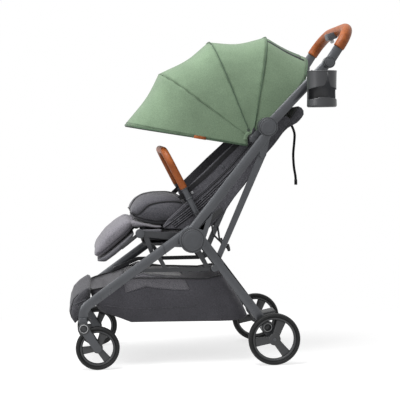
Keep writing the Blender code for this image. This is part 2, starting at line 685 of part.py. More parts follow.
def caster(side, s):
    """The swivelling front caster: block, sprung fork, wheel and swivel lock."""
    x = s * MID_X
    swivel = pivot(f"caster_swivel_{side}", (x, CASTER_Y, FOOT_Z))
    top = FOOT_Z - GAP
    foot = rod(f"caster_block_{side}", (x, CASTER_Y, top), (x, CASTER_Y, top - 0.014), 0.0148, PLASTIC, 18)
    cheek_gap = FRONT_W / 2 + 0.0022
    cheeks = []
    for t in (-1.0, 1.0):
        inner, outer = x + t * (cheek_gap - 0.0005), x + t * (cheek_gap + 0.0035)
        cheeks.append(
            plate("cheek", capsule((CASTER_Y, top - 0.013), FORK_PIVOT, 0.0125, 0.0125), inner, outer, PLASTIC)
        )
    bridge = block("bridge", (x, CASTER_Y, top - 0.0075), (2 * cheek_gap + 0.006, 0.020, 0.013), PLASTIC)
    body = join(foot, bridge, *cheeks)
    bore = disc("bore", x - 0.04, x + 0.04, FORK_PIVOT, 0.004 + PIN_PLAY, PLASTIC, 10)
    hang(cut(body, bore), swivel)

    holder = pivot(f"fork_pivot_{side}", (x, *FORK_PIVOT), swivel)
    centre = (FRONT_Y, FRONT_Z)
    arm_gap = cheek_gap + 0.0035 + GAP
    fork = disc(f"caster_fork_{side}", x - arm_gap - 0.002, x + arm_gap + 0.002, FORK_PIVOT, 0.004, STEEL, 10)
    arms = [
        plate(
            "arm",
            capsule(FORK_PIVOT, centre, 0.0145, 0.0115),
            x + t * arm_gap,
            x + t * (arm_gap + 0.0045),
            PLASTIC,
        )
        for t in (-1.0, 1.0)
    ]
    axle = disc("axle", x - arm_gap - 0.002, x + arm_gap + 0.002, centre, AXLE_R, STEEL, 10)
    hang(join(fork, *arms, axle), holder)
    wheel(f"front_{side}", holder, x, centre, FRONT_R, FRONT_W)

    lock_y = CASTER_Y + 0.0148 + GAP + 0.004
    lock = block(
        f"swivel_lock_{side}", (x, lock_y, top - 0.006), (0.014, 0.008, 0.012), PLASTIC, 0.0, 0.0015
    )
    lock_holder = pivot(f"lock_slide_{side}", (x, lock_y, top - 0.006), swivel)
    hang(lock, lock_holder)


def bumper_bar():
    """The bumper bar: two collars on spigots and the padded U between them."""
    collar_top = toward(BAR_BASE, bar_angle, BAR_COLLAR_L - GAP)
    seam = toward(BAR_BASE, bar_angle, BAR_COLLAR_L)
    for side, s in SIDES:
        foot = (s * BAR_X, *BAR_BASE)
        arm = rod(f"bumper_arm_{side}", foot, (s * BAR_X, *collar_top), BAR_R, PLASTIC)
        tip = (s * BAR_X, *toward(BAR_BASE, bar_angle, -SPIGOT_L))
        root = (s * BAR_X, *toward(BAR_BASE, bar_angle, 0.004))
        hang(join(arm, rod("spigot", tip, root, SPIGOT_R, STEEL)), BAR)
    corners = [(-BAR_X, *seam), (-BAR_X, *BAR_TOP), (BAR_X, *BAR_TOP), (BAR_X, *seam)]
    grip = tube("bumper_grip", rounded(corners, BAR_BEND, 7), BAR_GRIP_R, LEATHER, None, 4)
    hang(grip, BAR)


def handlebar():
    """The tilting handlebar: two collars, the padded arch, and the fold button in its box."""
    seam = toward(COLLAR_END, collar_angle, -GAP)
    for side, s in SIDES:
        hub = disc(f"handle_collar_{side}", s * COLLAR_LOW, s * COLLAR_HIGH, TILT, TILT_R, PLASTIC, 20)
        pin = disc("pin", s * MID_LOW, s * (COLLAR_LOW + 0.002), TILT, TILT_PIN_R, STEEL, 10)
        sleeve = tube(
            "sleeve",
            flat_path(s * COLLAR_X, [TILT, seam]),
            GRIP_R - 0.0015,
            PLASTIC,
            (s * COLLAR_X, COLLAR_T),
        )
        hang(join(hub, pin, sleeve), TILTING)
    bar_at = toward(COLLAR_END, collar_angle, GRIP_REACH)
    corners = [(-COLLAR_X, *COLLAR_END), (-COLLAR_X, *bar_at), (COLLAR_X, *bar_at), (COLLAR_X, *COLLAR_END)]
    hang(tube("handle_grip", rounded(corners, GRIP_BEND, 7), GRIP_R, LEATHER, None, 4), TILTING)

    box = block("button_box", (0.0, *BOX_AT), BOX_SIZE, PLASTIC, BOX_TILT, 0.002)
    saddle = disc("saddle", -BOX_SIZE[0], BOX_SIZE[0], bar_at, GRIP_R + GAP, PLASTIC)
    up = BOX_TILT + math.pi / 2
    button_at = toward(BOX_AT, up, (BUTTON_SIZE[2] - BOX_SIZE[2]) / 2 - BUTTON_OUT)
    pocket = [width + 2 * GAP for width in BUTTON_SIZE[:2]] + [2 * BUTTON_SIZE[2]]
    pocket_at = toward(button_at, up, BUTTON_TRAVEL + GAP - BUTTON_SIZE[2] / 2)
    box = cut(box, saddle, block("pocket", (0.0, *pocket_at), pocket, PLASTIC, BOX_TILT))
    hang(box, TILTING)
    button = block("fold_button", (0.0, *button_at), BUTTON_SIZE, CLEAR, BOX_TILT, 0.001)
    hang(button, pivot("button_slide", (0.0, *button_at), TILTING))


def canopy_reach(direction):
    """How far the cloth reaches from the pivot: full at each bow, drawn in between bows."""
    low, near = CANOPY_END
    for _, high, far, sag in BOWS:
        if direction <= high:
            t = (direction - low) / (high - low)
            return near + (far - near) * t - sag * math.sin(math.pi * t)
        low, near = high, far
    return near


def arch(direction, reach, half, root, steps):
    """Points of a squared arch over the child, from one side to the other."""
    out = []
    for step in range(steps + 1):
        t = math.pi * step / steps
        c, s = math.cos(t), math.sin(t)
        x = half * math.copysign(abs(c) ** 0.58, c)
        along = root + (reach - root) * abs(s) ** 0.58
        out.append((x, *toward(CANOPY_PIVOT, math.radians(direction), along)))
    return out


def canopy_bows():
    """Four bows, hinged one on the next, that spread the canopy."""
    inset = BOW_R + 0.0012
    parent = HANDLE
    for n, (name, direction, reach, _) in enumerate(BOWS):
        parent = pivot(f"{name}_pivot", (0.0, *CANOPY_PIVOT), parent)
        eye_x = INNER_LOW - GAP - (n + 0.5) * BOW_STEP
        route = arch(direction, reach - inset, CANOPY_HALF - inset, CANOPY_ROOT, ARCH_STEPS)
        turn = math.radians(direction)
        foot_x = eye_x
        foot, knee = (toward(CANOPY_PIVOT, turn, CANOPY_ROOT - back) for back in (0.022, 0.004))
        start, end = route[0][0], route[-1][0]
        route = [(foot_x, *foot), (start, *knee)] + route[1:-1] + [(end, *knee), (-foot_x, *foot)]
        bow = tube(name, route, BOW_R, FRAME_PAINT, None, 1)
        for s in (1.0, -1.0):
            eye_low, eye_high = s * (eye_x - BOW_EYE_T / 2), s * (eye_x + BOW_EYE_T / 2)
            tang = plate(
                "tang",
                capsule(CANOPY_PIVOT, toward(CANOPY_PIVOT, turn, CANOPY_ROOT * 0.7), BOW_EYE_R, 0.0036, 3),
                eye_low,
                eye_high,
                FRAME_PAINT,
            )
            bow = join(bow, tang)
        bore = disc("bore", -MID_X, MID_X, CANOPY_PIVOT, 0.003 + PIN_PLAY, PLASTIC, 10)
        hang(cut(bow, bore), parent)


def canopy_cloth():
    """The canopy: one sheet over the bows, scalloped between them."""
    rows, columns = 4 * len(BOWS), ARCH_STEPS
    mesh = bpy.data.meshes.new("canopy_cloth")
    points, faces = [], []
    stops = [CANOPY_END[0]] + [bow[1] for bow in BOWS]
    turns = [low + (high - low) * n / 4 for low, high in zip(stops, stops[1:]) for n in range(4)]
    for direction in turns + [stops[-1]]:
        points += arch(direction, canopy_reach(direction), CANOPY_HALF, CANOPY_ROOT, columns)
    wide = columns + 1
    for row in range(rows):
        for column in range(columns):
            a = row * wide + column
            faces.append((a, a + 1, a + wide + 1, a + wide))
    mesh.from_pydata(points, [], faces)
    sheet = bpy.data.objects.new("canopy_cloth", mesh)
    PARTS.objects.link(sheet)
    skin = sheet.modifiers.new("thickness", "SOLIDIFY")
    skin.thickness = CANOPY_T
    skin.offset = 1.0
    hang(solid("canopy", as_mesh(sheet), GREEN), HANDLE)


def seat_base():
    """The seat board between the side frames, its cushion and the raised front bolster."""
    middle = (SEAT_FRONT_Y + SEAT_REAR_Y) / 2
    length = SEAT_REAR_Y - SEAT_FRONT_Y
    board = block(
        "seat_board", (0.0, middle, SEAT_Z + SEAT_T / 2), (2 * SEAT_HALF, length, SEAT_T), PLASTIC, 0.0, 0.002
    )
    hang(board, CHASSIS)
    pad_t = 0.034
    pad_z = SEAT_Z + SEAT_T + GAP + pad_t / 2
    pad_size = (2 * CUSHION_HALF, length - 0.013, pad_t)
    pad = pillow("seat_pad", (0.0, middle - 0.0035, pad_z), pad_size, GREY_CLOTH, 0.0, 0.4, 0.03)
    hang(pad, CHASSIS)
    hang(bolster(pad_z + pad_t / 2 + GAP), CHASSIS)


def between(stations, y):
    """The height at y on a line of (y, z) stations."""
    for (y0, z0), (y1, z1) in zip(stations, stations[1:]):
        if y <= y1:
            return z0 + (z1 - z0) * (y - y0) / (y1 - y0)
    return stations[-1][1]


def bolster(lowest):
    """The raised front bolster: a low nose, a crowned top, and an underside that rests on the seat pad."""
    top = [(-0.2185, 0.490), (-0.207, 0.503), (-0.171, 0.519), (-0.138, 0.5255), (-0.06, 0.525), (-0.024, 0.512)]
    foot = [(-0.2185, 0.476), (-0.205, 0.467), (-0.153, 0.459), (-0.096, 0.449), (-0.024, 0.449)]
    shape = bmesh.new()
    bmesh.ops.create_cube(shape, size=2.0)
    bmesh.ops.subdivide_edges(shape, edges=shape.edges, cuts=5, use_grid_fill=True)
    for vertex in shape.verts:
        u, v, w = vertex.co
        y = top[0][0] + (top[-1][0] - top[0][0]) * (v + 1) / 2
        crown = (1 - u * u) * (1 - max(0.0, -v) ** 3) * (1 - max(0.0, v) ** 3)
        high = between(top, y) + 0.014 * crown
        rest = between(foot, y)
        low = rest + (lowest - rest) * (1 - u * u) * (1 - max(0.0, -v) ** 1.5) * (1 - max(0.0, v) ** 3)
        edge = 1 - 0.45 * abs(u) ** 5
        x = u * CUSHION_HALF * (1 - 0.02 * w * w) * (1 - 0.22 * max(0.0, -v) ** 4)
        vertex.co = (x, y, (high + low) / 2 + w * edge * (high - low) / 2)
    mesh = bpy.data.meshes.new("front_bolster")
    shape.to_mesh(mesh)
    shape.free()
    return solid("front_bolster", mesh, GREY_CLOTH)


def backrest():
    """The backrest: board on the hub pins, cushion in front, cloth shell with side wings behind."""
    shell_line = BACK_SHELL_T + GAP
    base = toward(BACK_BASE, BACK_SLOPE, 0.0, shell_line + BACK_BOARD_T / 2)
    middle = toward(base, BACK_SLOPE, BOARD_LEN / 2)
    board_size = (2 * BACK_HALF, BOARD_LEN, BACK_BOARD_T)
    board = block("backrest_board", (0.0, *middle), board_size, PLASTIC, BACK_SLOPE, 0.002)
    for s in (1.0, -1.0):
        ear_end = toward(base, BACK_SLOPE, 0.020, 0.0045)
        ear = plate("ear", capsule(HUB, ear_end, EAR_R, 0.0075), s * EAR_LOW, s * EAR_HIGH, PLASTIC)
        board = join(board, ear)
    board = cut(board, disc("bore", -MID_X, MID_X, HUB, PIN_R + PIN_PLAY, PLASTIC, 12))
    hang(board, BACK)

    pad_line = shell_line + BACK_BOARD_T + GAP
    pad_len = BACK_LEN + 0.02
    pad_at = toward(BACK_BASE, BACK_SLOPE, pad_len / 2 + 0.034, pad_line + BACK_PAD_T / 2)
    pad = pillow(
        "backrest_pad", (0.0, *pad_at), (2 * BACK_HALF - 0.006, pad_len, BACK_PAD_T), GREY_CLOTH, BACK_SLOPE, 0.4, 0.02
    )
    hang(pad, BACK)

    outer = [(0.050, 0.433), BACK_BASE, (0.206, 0.644), (0.2755, 0.729), (0.291, 0.744), (0.323, 0.763), (0.342, 0.786), (0.343, 0.803)]
    outer += [(0.331, 0.817)]
    inner = [toward(BACK_BASE, BACK_SLOPE, along, BACK_SHELL_T) for along in (0.42, -0.032)]
    shell = plate("seat_shell", outer + inner, -WING_OUT, WING_OUT, DARK_CLOTH)
    wing = [
        toward(BACK_BASE, BACK_SLOPE, 0.030, 0.001),
        toward(BACK_BASE, BACK_SLOPE, 0.385, 0.001),
        toward(BACK_BASE, BACK_SLOPE, 0.385, 0.022),
        (0.150, 0.728),
        (0.060, 0.648),
        (-0.024, 0.569),
        (-0.060, 0.523),
        (-0.132, 0.456),
        (-0.122, 0.434),
        (0.030, 0.426),
    ]
    wings = [plate("wing", wing, s * WING_IN, s * WING_OUT, DARK_CLOTH) for s in (1.0, -1.0)]
    shell = join(shell, *wings)
    for s in (1.0, -1.0):
        room = capsule(HUB, ear_end, EAR_R + 0.001, 0.0085)
        shell = cut(shell, plate("room", room, s * (EAR_LOW - 0.001), s * (EAR_HIGH + 0.02), PLASTIC))
    hang(shell, BACK)


def leg_rest():
    """The leg rest: a board hinged at the seat's front, with its thick pale pad."""
    slope = math.radians(180 + 38)
    tip = toward(LEG_REST_PIVOT, slope, 0.155, 0.008)
    root = toward(LEG_REST_PIVOT, slope, 0.012, 0.008)
    middle = ((tip[0] + root[0]) / 2, (tip[1] + root[1]) / 2)
    length = distance(root, tip)
    board = block("leg_rest_board", (0.0, *middle), (2 * CUSHION_HALF + 0.004, length, 0.005), PLASTIC, slope - math.pi, 0.0015)
    for s in (1.0, -1.0):
        arm = plate("arm", capsule(LEG_REST_PIVOT, toward(root, slope, 0.02), 0.010, 0.006), s * (CUSHION_HALF + 0.001), s * (CUSHION_HALF + 0.014), PLASTIC)
        pin = disc("pin", s * (CUSHION_HALF + 0.012), s * (FRAME_HIGH + 0.002), LEG_REST_PIVOT, 0.004, STEEL, 10)
        board = join(board, arm, pin)
    hang(board, LEG_REST)
    pad_t = 0.040
    pad_at = toward(middle, slope, 0.001, -(0.0025 + GAP + pad_t / 2))
    pad_size = (2 * CUSHION_HALF, length + 0.022, pad_t)
    pad = pillow("leg_rest_pad", (0.0, *pad_at), pad_size, PALE_CLOTH, slope - math.pi, 0.35, 0.03)
    hang(pad, LEG_REST)


def basket():
    """The shopping basket: an open cloth tub, and the padded panel in front of it."""
    floor = [(-0.330, 0.178), (-0.255, 0.150), (-0.222, 0.138), (0.095, 0.132), (0.155, 0.142)]
    rim = [(-0.345, 0.236), (-0.262, 0.262), (-0.182, 0.2958), (-0.050, 0.2958), (0.062, 0.279)]
    tub = plate("basket", floor + rim[::-1], -BASKET_HALF, BASKET_HALF, DARK_CLOTH)
    front, rear = rim[0][0] + BASKET_T, rim[-1][0] - BASKET_T
    above = rim[2][1] + BASKET_T
    hollow = [(floor[0][0] + BASKET_T, floor[0][1] + BASKET_T)]
    hollow += [(y, z + BASKET_T) for y, z in floor[1:-1]]
    hollow += [(floor[-1][0] - BASKET_T, floor[-1][1] + BASKET_T)]
    hollow += [(rear, rim[-1][1]), (rear, above), (front, above), (front, rim[0][1])]
    half = BASKET_HALF - BASKET_T
    tub = cut(tub, plate("basket_hollow", hollow, -half, half, DARK_CLOTH))
    hang(tub, CHASSIS)

    outer = [(-0.368, 0.250), (-0.386, 0.237), (-0.403, 0.219), (-0.4115, 0.197), (-0.4145, 0.1755)]
    outer += [(-0.4105, 0.158), (-0.397, 0.139)]
    back = FRONT_CROSS[0] - CROSS_R - GAP
    inner = [(-0.388, 0.141), (-0.3895, 0.160), (back, 0.180), (back, 0.204), (-0.378, 0.222), (-0.361, 0.243)]
    hang(plate("front_panel", outer + inner, -PANEL_HALF, PANEL_HALF, DARK_CLOTH), CHASSIS)


def cup_holder():
    """The clip-on cup holder with its side window, and the clamp round the handle tube."""
    middle = (CUP_TOP + CUP_BASE) / 2
    cup = rod("cup_holder", (CUP_X, CUP_Y, CUP_BASE), (CUP_X, CUP_Y, CUP_TOP), CUP_R, PLASTIC, 24)
    hollow = rod("hollow", (CUP_X, CUP_Y, CUP_BASE + 0.006), (CUP_X, CUP_Y, CUP_TOP + 0.02), CUP_R - CUP_WALL, PLASTIC, 24)
    cup = cut(cup, hollow)
    for t in (-1.0, 1.0):
        window = block(
            "window", (CUP_X + 0.019, CUP_Y + t * 0.0345, middle - 0.003), (0.062, 0.052, 0.026), PLASTIC, 0.0, 0.006
        )
        cup = cut(cup, window)
    grab = toward(TILT, handle_angle, -0.064)
    face = MID_HIGH + 0.0045
    reach = CUP_X - CUP_R + 0.004
    arm_size = (reach - face, 0.026, 0.034)
    arm = block("arm", ((reach + face) / 2, grab[0] + 0.006, grab[1] - 0.002), arm_size, PLASTIC)
    clamp_size = (MID_T + 0.009, 0.030, TUBE_DEPTH + 0.009)
    clamp = block("clamp", (MID_X, *grab), clamp_size, PLASTIC, handle_angle, 0.003)
    way = [toward(grab, handle_angle, -0.05), toward(grab, handle_angle, 0.05)]
    tunnel = tube("tunnel", flat_path(MID_X, way), TUBE_DEPTH / 2 + GAP, PLASTIC, (MID_X, MID_T + 2 * GAP))
    clamp = cut(clamp, tunnel)
    hang(join(cup, arm, clamp), HANDLE)


def wrist_strap():
    """The strap that hangs from the back of the seat: doubled webbing with a stitched tip."""
    knots = [(0.3201, 0.7607), (0.3292, 0.7454), (0.336, 0.722), (0.334, 0.690), (0.331, 0.655)]
    knots += [(0.333, 0.615), (0.338, 0.583), (0.339, 0.555)]
    route = [(0.0, y, z) for y, z in smooth(knots, 4)]
    strap = tube("recline_strap", route, 0.0055, WEBBING, None, 2)
    hang(strap, BACK)


def smooth(knots, steps):
    """Points on a curve through the knots."""
    ends = [knots[0]] + list(knots) + [knots[-1]]
    out = []
    for a, b, c, d in zip(ends, ends[1:], ends[2:], ends[3:]):
        for step in range(steps):
            t = step / steps
            out.append(
                tuple(
                    0.5 * (2 * q + (r - p) * t + (2 * p - 5 * q + 4 * r - s) * t * t + (3 * q - p - 3 * r + s) * t**3)
                    for p, q, r, s in zip(a, b, c, d)
                )
            )
    return out + [knots[-1]]


for side_name, sign in SIDES:
    front_leg(side_name, sign)
    hub_pin(side_name, sign)
    seat_side_frame(side_name, sign)
    main_tube(side_name, sign)
    fold_pin(side_name, sign)
    handle_tube(side_name, sign)
    strut(side_name, sign)
    rear_leg(side_name, sign)
    rear_suspension(side_name, sign)
    caster(side_name, sign)
cross_tubes()
brake_pedal()
bumper_bar()
handlebar()
canopy_bows()
canopy_cloth()
seat_base()
backrest()
leg_rest()
basket()
cup_holder()
wrist_strap()


def centre_on_ground():
    """Moves the whole stroller so that the origin is under the middle of its box."""
    bpy.context.view_layer.update()
    low, high = Vector((9, 9, 9)), Vector((-9, -9, -9))
    for part in PARTS.objects:
        if part.type != "MESH" or part.name == "recline_strap":
            continue
        for corner in part.bound_box:
            place = part.matrix_world @ Vector(corner)
            low = Vector(map(min, low, place))
            high = Vector(map(max, high, place))
    ORIGIN.location = (-(low.x + high.x) / 2, -(low.y + high.y) / 2, -low.z)
    bpy.context.view_layer.update()
    print("origin shift", tuple(round(v, 6) for v in ORIGIN.location))


centre_on_ground()
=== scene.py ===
# %% [markdown]
# # A folding stroller
# This script dresses the imported model of a light folding stroller: a grey aluminium frame on four
# wheels, a padded seat, a green canopy, a shopping basket, and tan leather on the handle and bumper bar.
# The imported model is the skeleton. Most pieces made here ride on one of its bodies; the canopy's panels and
# vent are left loose.
# %% Load the frame
import json
import math

import bmesh
import bpy
import numpy as np
from mathutils import Matrix, Vector
from mathutils.bvhtree import BVHTree

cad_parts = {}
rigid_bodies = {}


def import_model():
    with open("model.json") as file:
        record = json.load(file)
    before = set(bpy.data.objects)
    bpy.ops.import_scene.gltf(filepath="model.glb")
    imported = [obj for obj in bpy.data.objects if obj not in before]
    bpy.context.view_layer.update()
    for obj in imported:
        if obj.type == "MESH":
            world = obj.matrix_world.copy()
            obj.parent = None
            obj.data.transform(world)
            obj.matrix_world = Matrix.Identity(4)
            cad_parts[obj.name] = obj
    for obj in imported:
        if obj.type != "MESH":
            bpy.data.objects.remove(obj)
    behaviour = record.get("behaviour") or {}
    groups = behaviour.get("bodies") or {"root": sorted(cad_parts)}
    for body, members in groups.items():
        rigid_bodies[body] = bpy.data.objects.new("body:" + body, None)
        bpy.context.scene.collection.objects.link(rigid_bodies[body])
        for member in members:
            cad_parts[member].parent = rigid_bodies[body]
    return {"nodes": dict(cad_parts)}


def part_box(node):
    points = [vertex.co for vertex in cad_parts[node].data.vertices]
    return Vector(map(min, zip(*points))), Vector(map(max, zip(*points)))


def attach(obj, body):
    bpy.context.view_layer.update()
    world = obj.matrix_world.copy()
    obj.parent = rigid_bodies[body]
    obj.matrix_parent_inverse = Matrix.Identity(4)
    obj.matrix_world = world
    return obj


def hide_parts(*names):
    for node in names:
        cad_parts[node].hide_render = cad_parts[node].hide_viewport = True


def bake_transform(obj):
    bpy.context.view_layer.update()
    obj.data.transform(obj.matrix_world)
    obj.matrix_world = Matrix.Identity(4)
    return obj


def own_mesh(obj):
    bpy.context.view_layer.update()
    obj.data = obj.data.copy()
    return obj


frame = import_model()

for spare in [o for o in bpy.data.objects if o.name in ("Cube", "Light", "Camera")]:
    bpy.data.objects.remove(spare)
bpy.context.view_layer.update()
nodes = frame["nodes"]

# %% [markdown]
# ## The frame's own zero
# The sizes below are written from the middle of the seat, as a frame builder would, with Y pointing
# back and Z up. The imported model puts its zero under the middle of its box, so the shift between the
# two is measured on two of its parts.
# %% Measure the shift
HUB = (-0.026, 0.402)
APEX = (0.214, 0.749)
CANOPY_PIVOT = (0.171, 0.712)
SIDES = (("left", 1.0), ("right", -1.0))
pin_low, pin_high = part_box("hub_pin_left")
board_low, board_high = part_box("seat_board")
shift = Vector(
    ((board_low[0] + board_high[0]) / 2, (pin_low[1] + pin_high[1]) / 2 - HUB[0], 0.0)
)
print("shift", tuple(round(v, 5) for v in shift))

# %% [markdown]
# ## The camera
# The photograph was taken from the stroller's left, a little above the seat, with a long lens. Its
# height, turn and distance were worked out from the wheels, which are circles of known size.
# %% The camera
yaw, pitch, roll = (math.radians(a) for a in (5.1806, 3.8359, -0.7608))
distance, pixels_per_metre, photo_side = 3.6106, 322.0, 400
aim = Vector((0.215, 0.0, 0.5254))
look = Vector((-math.cos(yaw) * math.cos(pitch), math.sin(yaw) * math.cos(pitch), -math.sin(pitch)))
level = look.cross(Vector((0.0, 0.0, 1.0))).normalized()
above = level.cross(look)
right = math.cos(roll) * level + math.sin(roll) * above
up = math.cos(roll) * above - math.sin(roll) * level
eye = aim + shift - distance * look
camera = bpy.data.cameras.new("camera")
camera.sensor_width = 36.0
camera.lens = camera.sensor_width * pixels_per_metre * distance / photo_side
viewer = bpy.data.objects.new("camera", camera)
bpy.context.scene.collection.objects.link(viewer)
viewer.matrix_world = Matrix(
    [[right[i], up[i], -look[i], eye[i]] for i in range(3)] + [[0.0, 0.0, 0.0, 1.0]]
)
bpy.context.scene.camera = viewer
bpy.context.scene.view_settings.view_transform = "Standard"
print("lens", round(camera.lens, 1), "mm")

# %% [markdown]
# ## Small tools for shaders
# Floor, room and materials are all node trees, so a few short functions keep them readable. The paper
# and the room glow for the camera, for mirrored rays and for rays through the clear button, and are
# plain grey for all other light.
# %% Shader tools
def material_with(name):
    """A new material, its node tree and its surface shader."""
    made = bpy.data.materials.new(name)
    made.use_nodes = True
    return made, made.node_tree, made.node_tree.nodes["Principled BSDF"]


def add(tree, kind, inputs=(), **settings):
    """A new node with its settings and its input values."""
    made = tree.nodes.new(kind)
    for key, value in settings.items():
        setattr(made, key, value)
    for key, value in dict(inputs).items():
        made.inputs[key].default_value = value
    return made


def background_rays(tree):
    """1 for rays that show the background: straight to the camera, mirrored, or through glass."""
    rays = add(tree, "ShaderNodeLightPath")
    mirrored_too = add(tree, "ShaderNodeMath", operation="MAXIMUM")
    glass_too = add(tree, "ShaderNodeMath", operation="MAXIMUM")
    tree.links.new(rays.outputs["Is Camera Ray"], mirrored_too.inputs[0])
    tree.links.new(rays.outputs["Is Glossy Ray"], mirrored_too.inputs[1])
    tree.links.new(mirrored_too.outputs[0], glass_too.inputs[0])
    tree.links.new(rays.outputs["Is Transmission Ray"], glass_too.inputs[1])
    return glass_too.outputs[0]


print("shader tools ready")

# %% [markdown]
# ## The floor
# A white paper sweep, as under a product photograph. It is lit to white, keeps only the faint shadow
# under the wheels, and fades into the background further out.
# %% The floor
floor_paint, paper, shader = material_with("floor_paint")
shader.inputs["Base Color"].default_value = (0.55, 0.55, 0.55, 1.0)
shader.inputs["Roughness"].default_value = 0.9
shader.inputs["Specular IOR Level"].default_value = 0.1
seen_glow = add(paper, "ShaderNodeEmission", {"Color": (1.0, 1.0, 1.0, 1.0), "Strength": 0.68})
both = add(paper, "ShaderNodeAddShader")
white = add(paper, "ShaderNodeEmission", {"Color": (1.0, 1.0, 1.0, 1.0), "Strength": 1.0})
place = add(paper, "ShaderNodeTexCoord")
far = add(paper, "ShaderNodeVectorMath", operation="LENGTH")
fade = add(paper, "ShaderNodeMapRange", {"From Min": 0.45, "From Max": 1.1})
sheet_mix = add(paper, "ShaderNodeMixShader")
seen_mix = add(paper, "ShaderNodeMixShader")
paper.links.new(shader.outputs[0], both.inputs[0])
paper.links.new(seen_glow.outputs[0], both.inputs[1])
paper.links.new(place.outputs["Object"], far.inputs[0])
paper.links.new(far.outputs["Value"], fade.inputs["Value"])
paper.links.new(fade.outputs["Result"], sheet_mix.inputs["Fac"])
paper.links.new(both.outputs[0], sheet_mix.inputs[1])
paper.links.new(white.outputs[0], sheet_mix.inputs[2])
paper.links.new(background_rays(paper), seen_mix.inputs["Fac"])
paper.links.new(shader.outputs[0], seen_mix.inputs[1])
paper.links.new(sheet_mix.outputs[0], seen_mix.inputs[2])
paper.links.new(seen_mix.outputs[0], paper.nodes["Material Output"].inputs["Surface"])
floor_mesh = bpy.data.meshes.new("floor")
floor_mesh.from_pydata([(-9, -9, 0), (9, -9, 0), (9, 9, 0), (-9, 9, 0)], [], [(0, 1, 2, 3)])
floor_mesh.materials.append(floor_paint)
floor = bpy.data.objects.new("floor", floor_mesh)
bpy.context.scene.collection.objects.link(floor)
print("floor", len(paper.nodes), "nodes")

# %% [markdown]
# ## The room
# An even white room seen by the camera, which gives a softer, weaker light from all sides.
# %% The room
world = bpy.data.worlds.new("room")
bpy.context.scene.world = world
world.use_nodes = True
room = world.node_tree
room.nodes.clear()
lit = add(room, "ShaderNodeBackground", {"Color": (1.0, 1.0, 1.0, 1.0), "Strength": 0.43})
seen = add(room, "ShaderNodeBackground", {"Color": (1.0, 1.0, 1.0, 1.0), "Strength": 1.0})
pick = add(room, "ShaderNodeMixShader")
out = add(room, "ShaderNodeOutputWorld")
room.links.new(background_rays(room), pick.inputs["Fac"])
room.links.new(lit.outputs[0], pick.inputs[1])
room.links.new(seen.outputs[0], pick.inputs[2])
room.links.new(pick.outputs[0], out.inputs["Surface"])
print("room", len(room.nodes), "nodes")

# %% [markdown]
# ## The lamps
# One large soft lamp overhead models the shapes, and a weaker one from the front opens the shadows
# under the canopy and the seat.
# %% The lamps
def lamp(name, place, target, size, power):
    """A square soft lamp that faces the target."""
    data = bpy.data.lights.new(name, "AREA")
    data.size = size
    data.energy = power
    made = bpy.data.objects.new(name, data)
    bpy.context.scene.collection.objects.link(made)
    made.location = place
    made.rotation_euler = (Vector(target) - Vector(place)).to_track_quat("-Z", "Y").to_euler()
    return made


lamp("top_lamp", (0.5, -0.8, 3.0), (0.0, 0.0, 0.5), 1.5, 70)
lamp("front_lamp", (1.5, -2.9, 1.8), (0.0, 0.0, 0.5), 1.6, 34)

# %% [markdown]
# ## Tools for materials
# Every material is mixed from noise and threads at the size that the real one shows, with a bump that
# follows them. These are the pieces that the recipes share.
# %% Colour, noise and relief
def colour(red, green, blue):
    """A colour as a screen shows it, 0 to 255, made linear."""
    return tuple(
        v / 12.92 if v <= 0.04045 else ((v + 0.055) / 1.055) ** 2.4
        for v in (c / 255 for c in (red, green, blue))
    ) + (1.0,)


def ramp(tree, factor, low, high, start=0.35, end=0.65):
    """A blend from one colour to the other over part of the factor's range."""
    made = add(tree, "ShaderNodeValToRGB")
    made.color_ramp.elements[0].position = start
    made.color_ramp.elements[0].color = low
    made.color_ramp.elements[1].position = end
    made.color_ramp.elements[1].color = high
    tree.links.new(factor, made.inputs["Fac"])
    return made.outputs["Color"]


def noise(tree, scale, detail=2.0, rough=0.5):
    """Noise over the object's own coordinates, in cycles per metre."""
    place = add(tree, "ShaderNodeTexCoord")
    made = add(tree, "ShaderNodeTexNoise", {"Scale": scale, "Detail": detail, "Roughness": rough})
    tree.links.new(place.outputs["Object"], made.inputs["Vector"])
    return made.outputs["Fac"]


def weave(tree, threads):
    """Crossing threads on any surface: the product of sines along each pair of axes."""
    place = add(tree, "ShaderNodeTexCoord")
    close = add(tree, "ShaderNodeVectorMath", operation="SCALE")
    close.inputs["Scale"].default_value = threads * 2 * math.pi
    wave = add(tree, "ShaderNodeVectorMath", operation="SINE")
    split = add(tree, "ShaderNodeSeparateXYZ")
    other = add(tree, "ShaderNodeCombineXYZ")
    cross = add(tree, "ShaderNodeVectorMath", operation="DOT_PRODUCT")
    tree.links.new(place.outputs["Object"], close.inputs[0])
    tree.links.new(close.outputs[0], wave.inputs[0])
    tree.links.new(wave.outputs[0], split.inputs[0])
    for a, b in (("X", "Y"), ("Y", "Z"), ("Z", "X")):
        tree.links.new(split.outputs[a], other.inputs[b])
    tree.links.new(wave.outputs[0], cross.inputs[0])
    tree.links.new(other.outputs[0], cross.inputs[1])
    return cross.outputs["Value"]


def relief(tree, shader, height, strength, depth, under=None):
    """A bump on the shader, over another bump if one is given."""
    made = add(tree, "ShaderNodeBump", {"Strength": strength, "Distance": depth})
    tree.links.new(height, made.inputs["Height"])
    if under:
        tree.links.new(under, made.inputs["Normal"])
    tree.links.new(made.outputs[0], shader.inputs["Normal"])
    return made.outputs[0]


def blend_colours(tree, kind, amount, first, second):
    """Two colours mixed in the given way."""
    made = add(tree, "ShaderNodeMix", data_type="RGBA", blend_type=kind)
    made.inputs["Factor"].default_value = amount
    tree.links.new(first, made.inputs["A"])
    tree.links.new(second, made.inputs["B"])
    return made.outputs["Result"]


print("material tools ready")

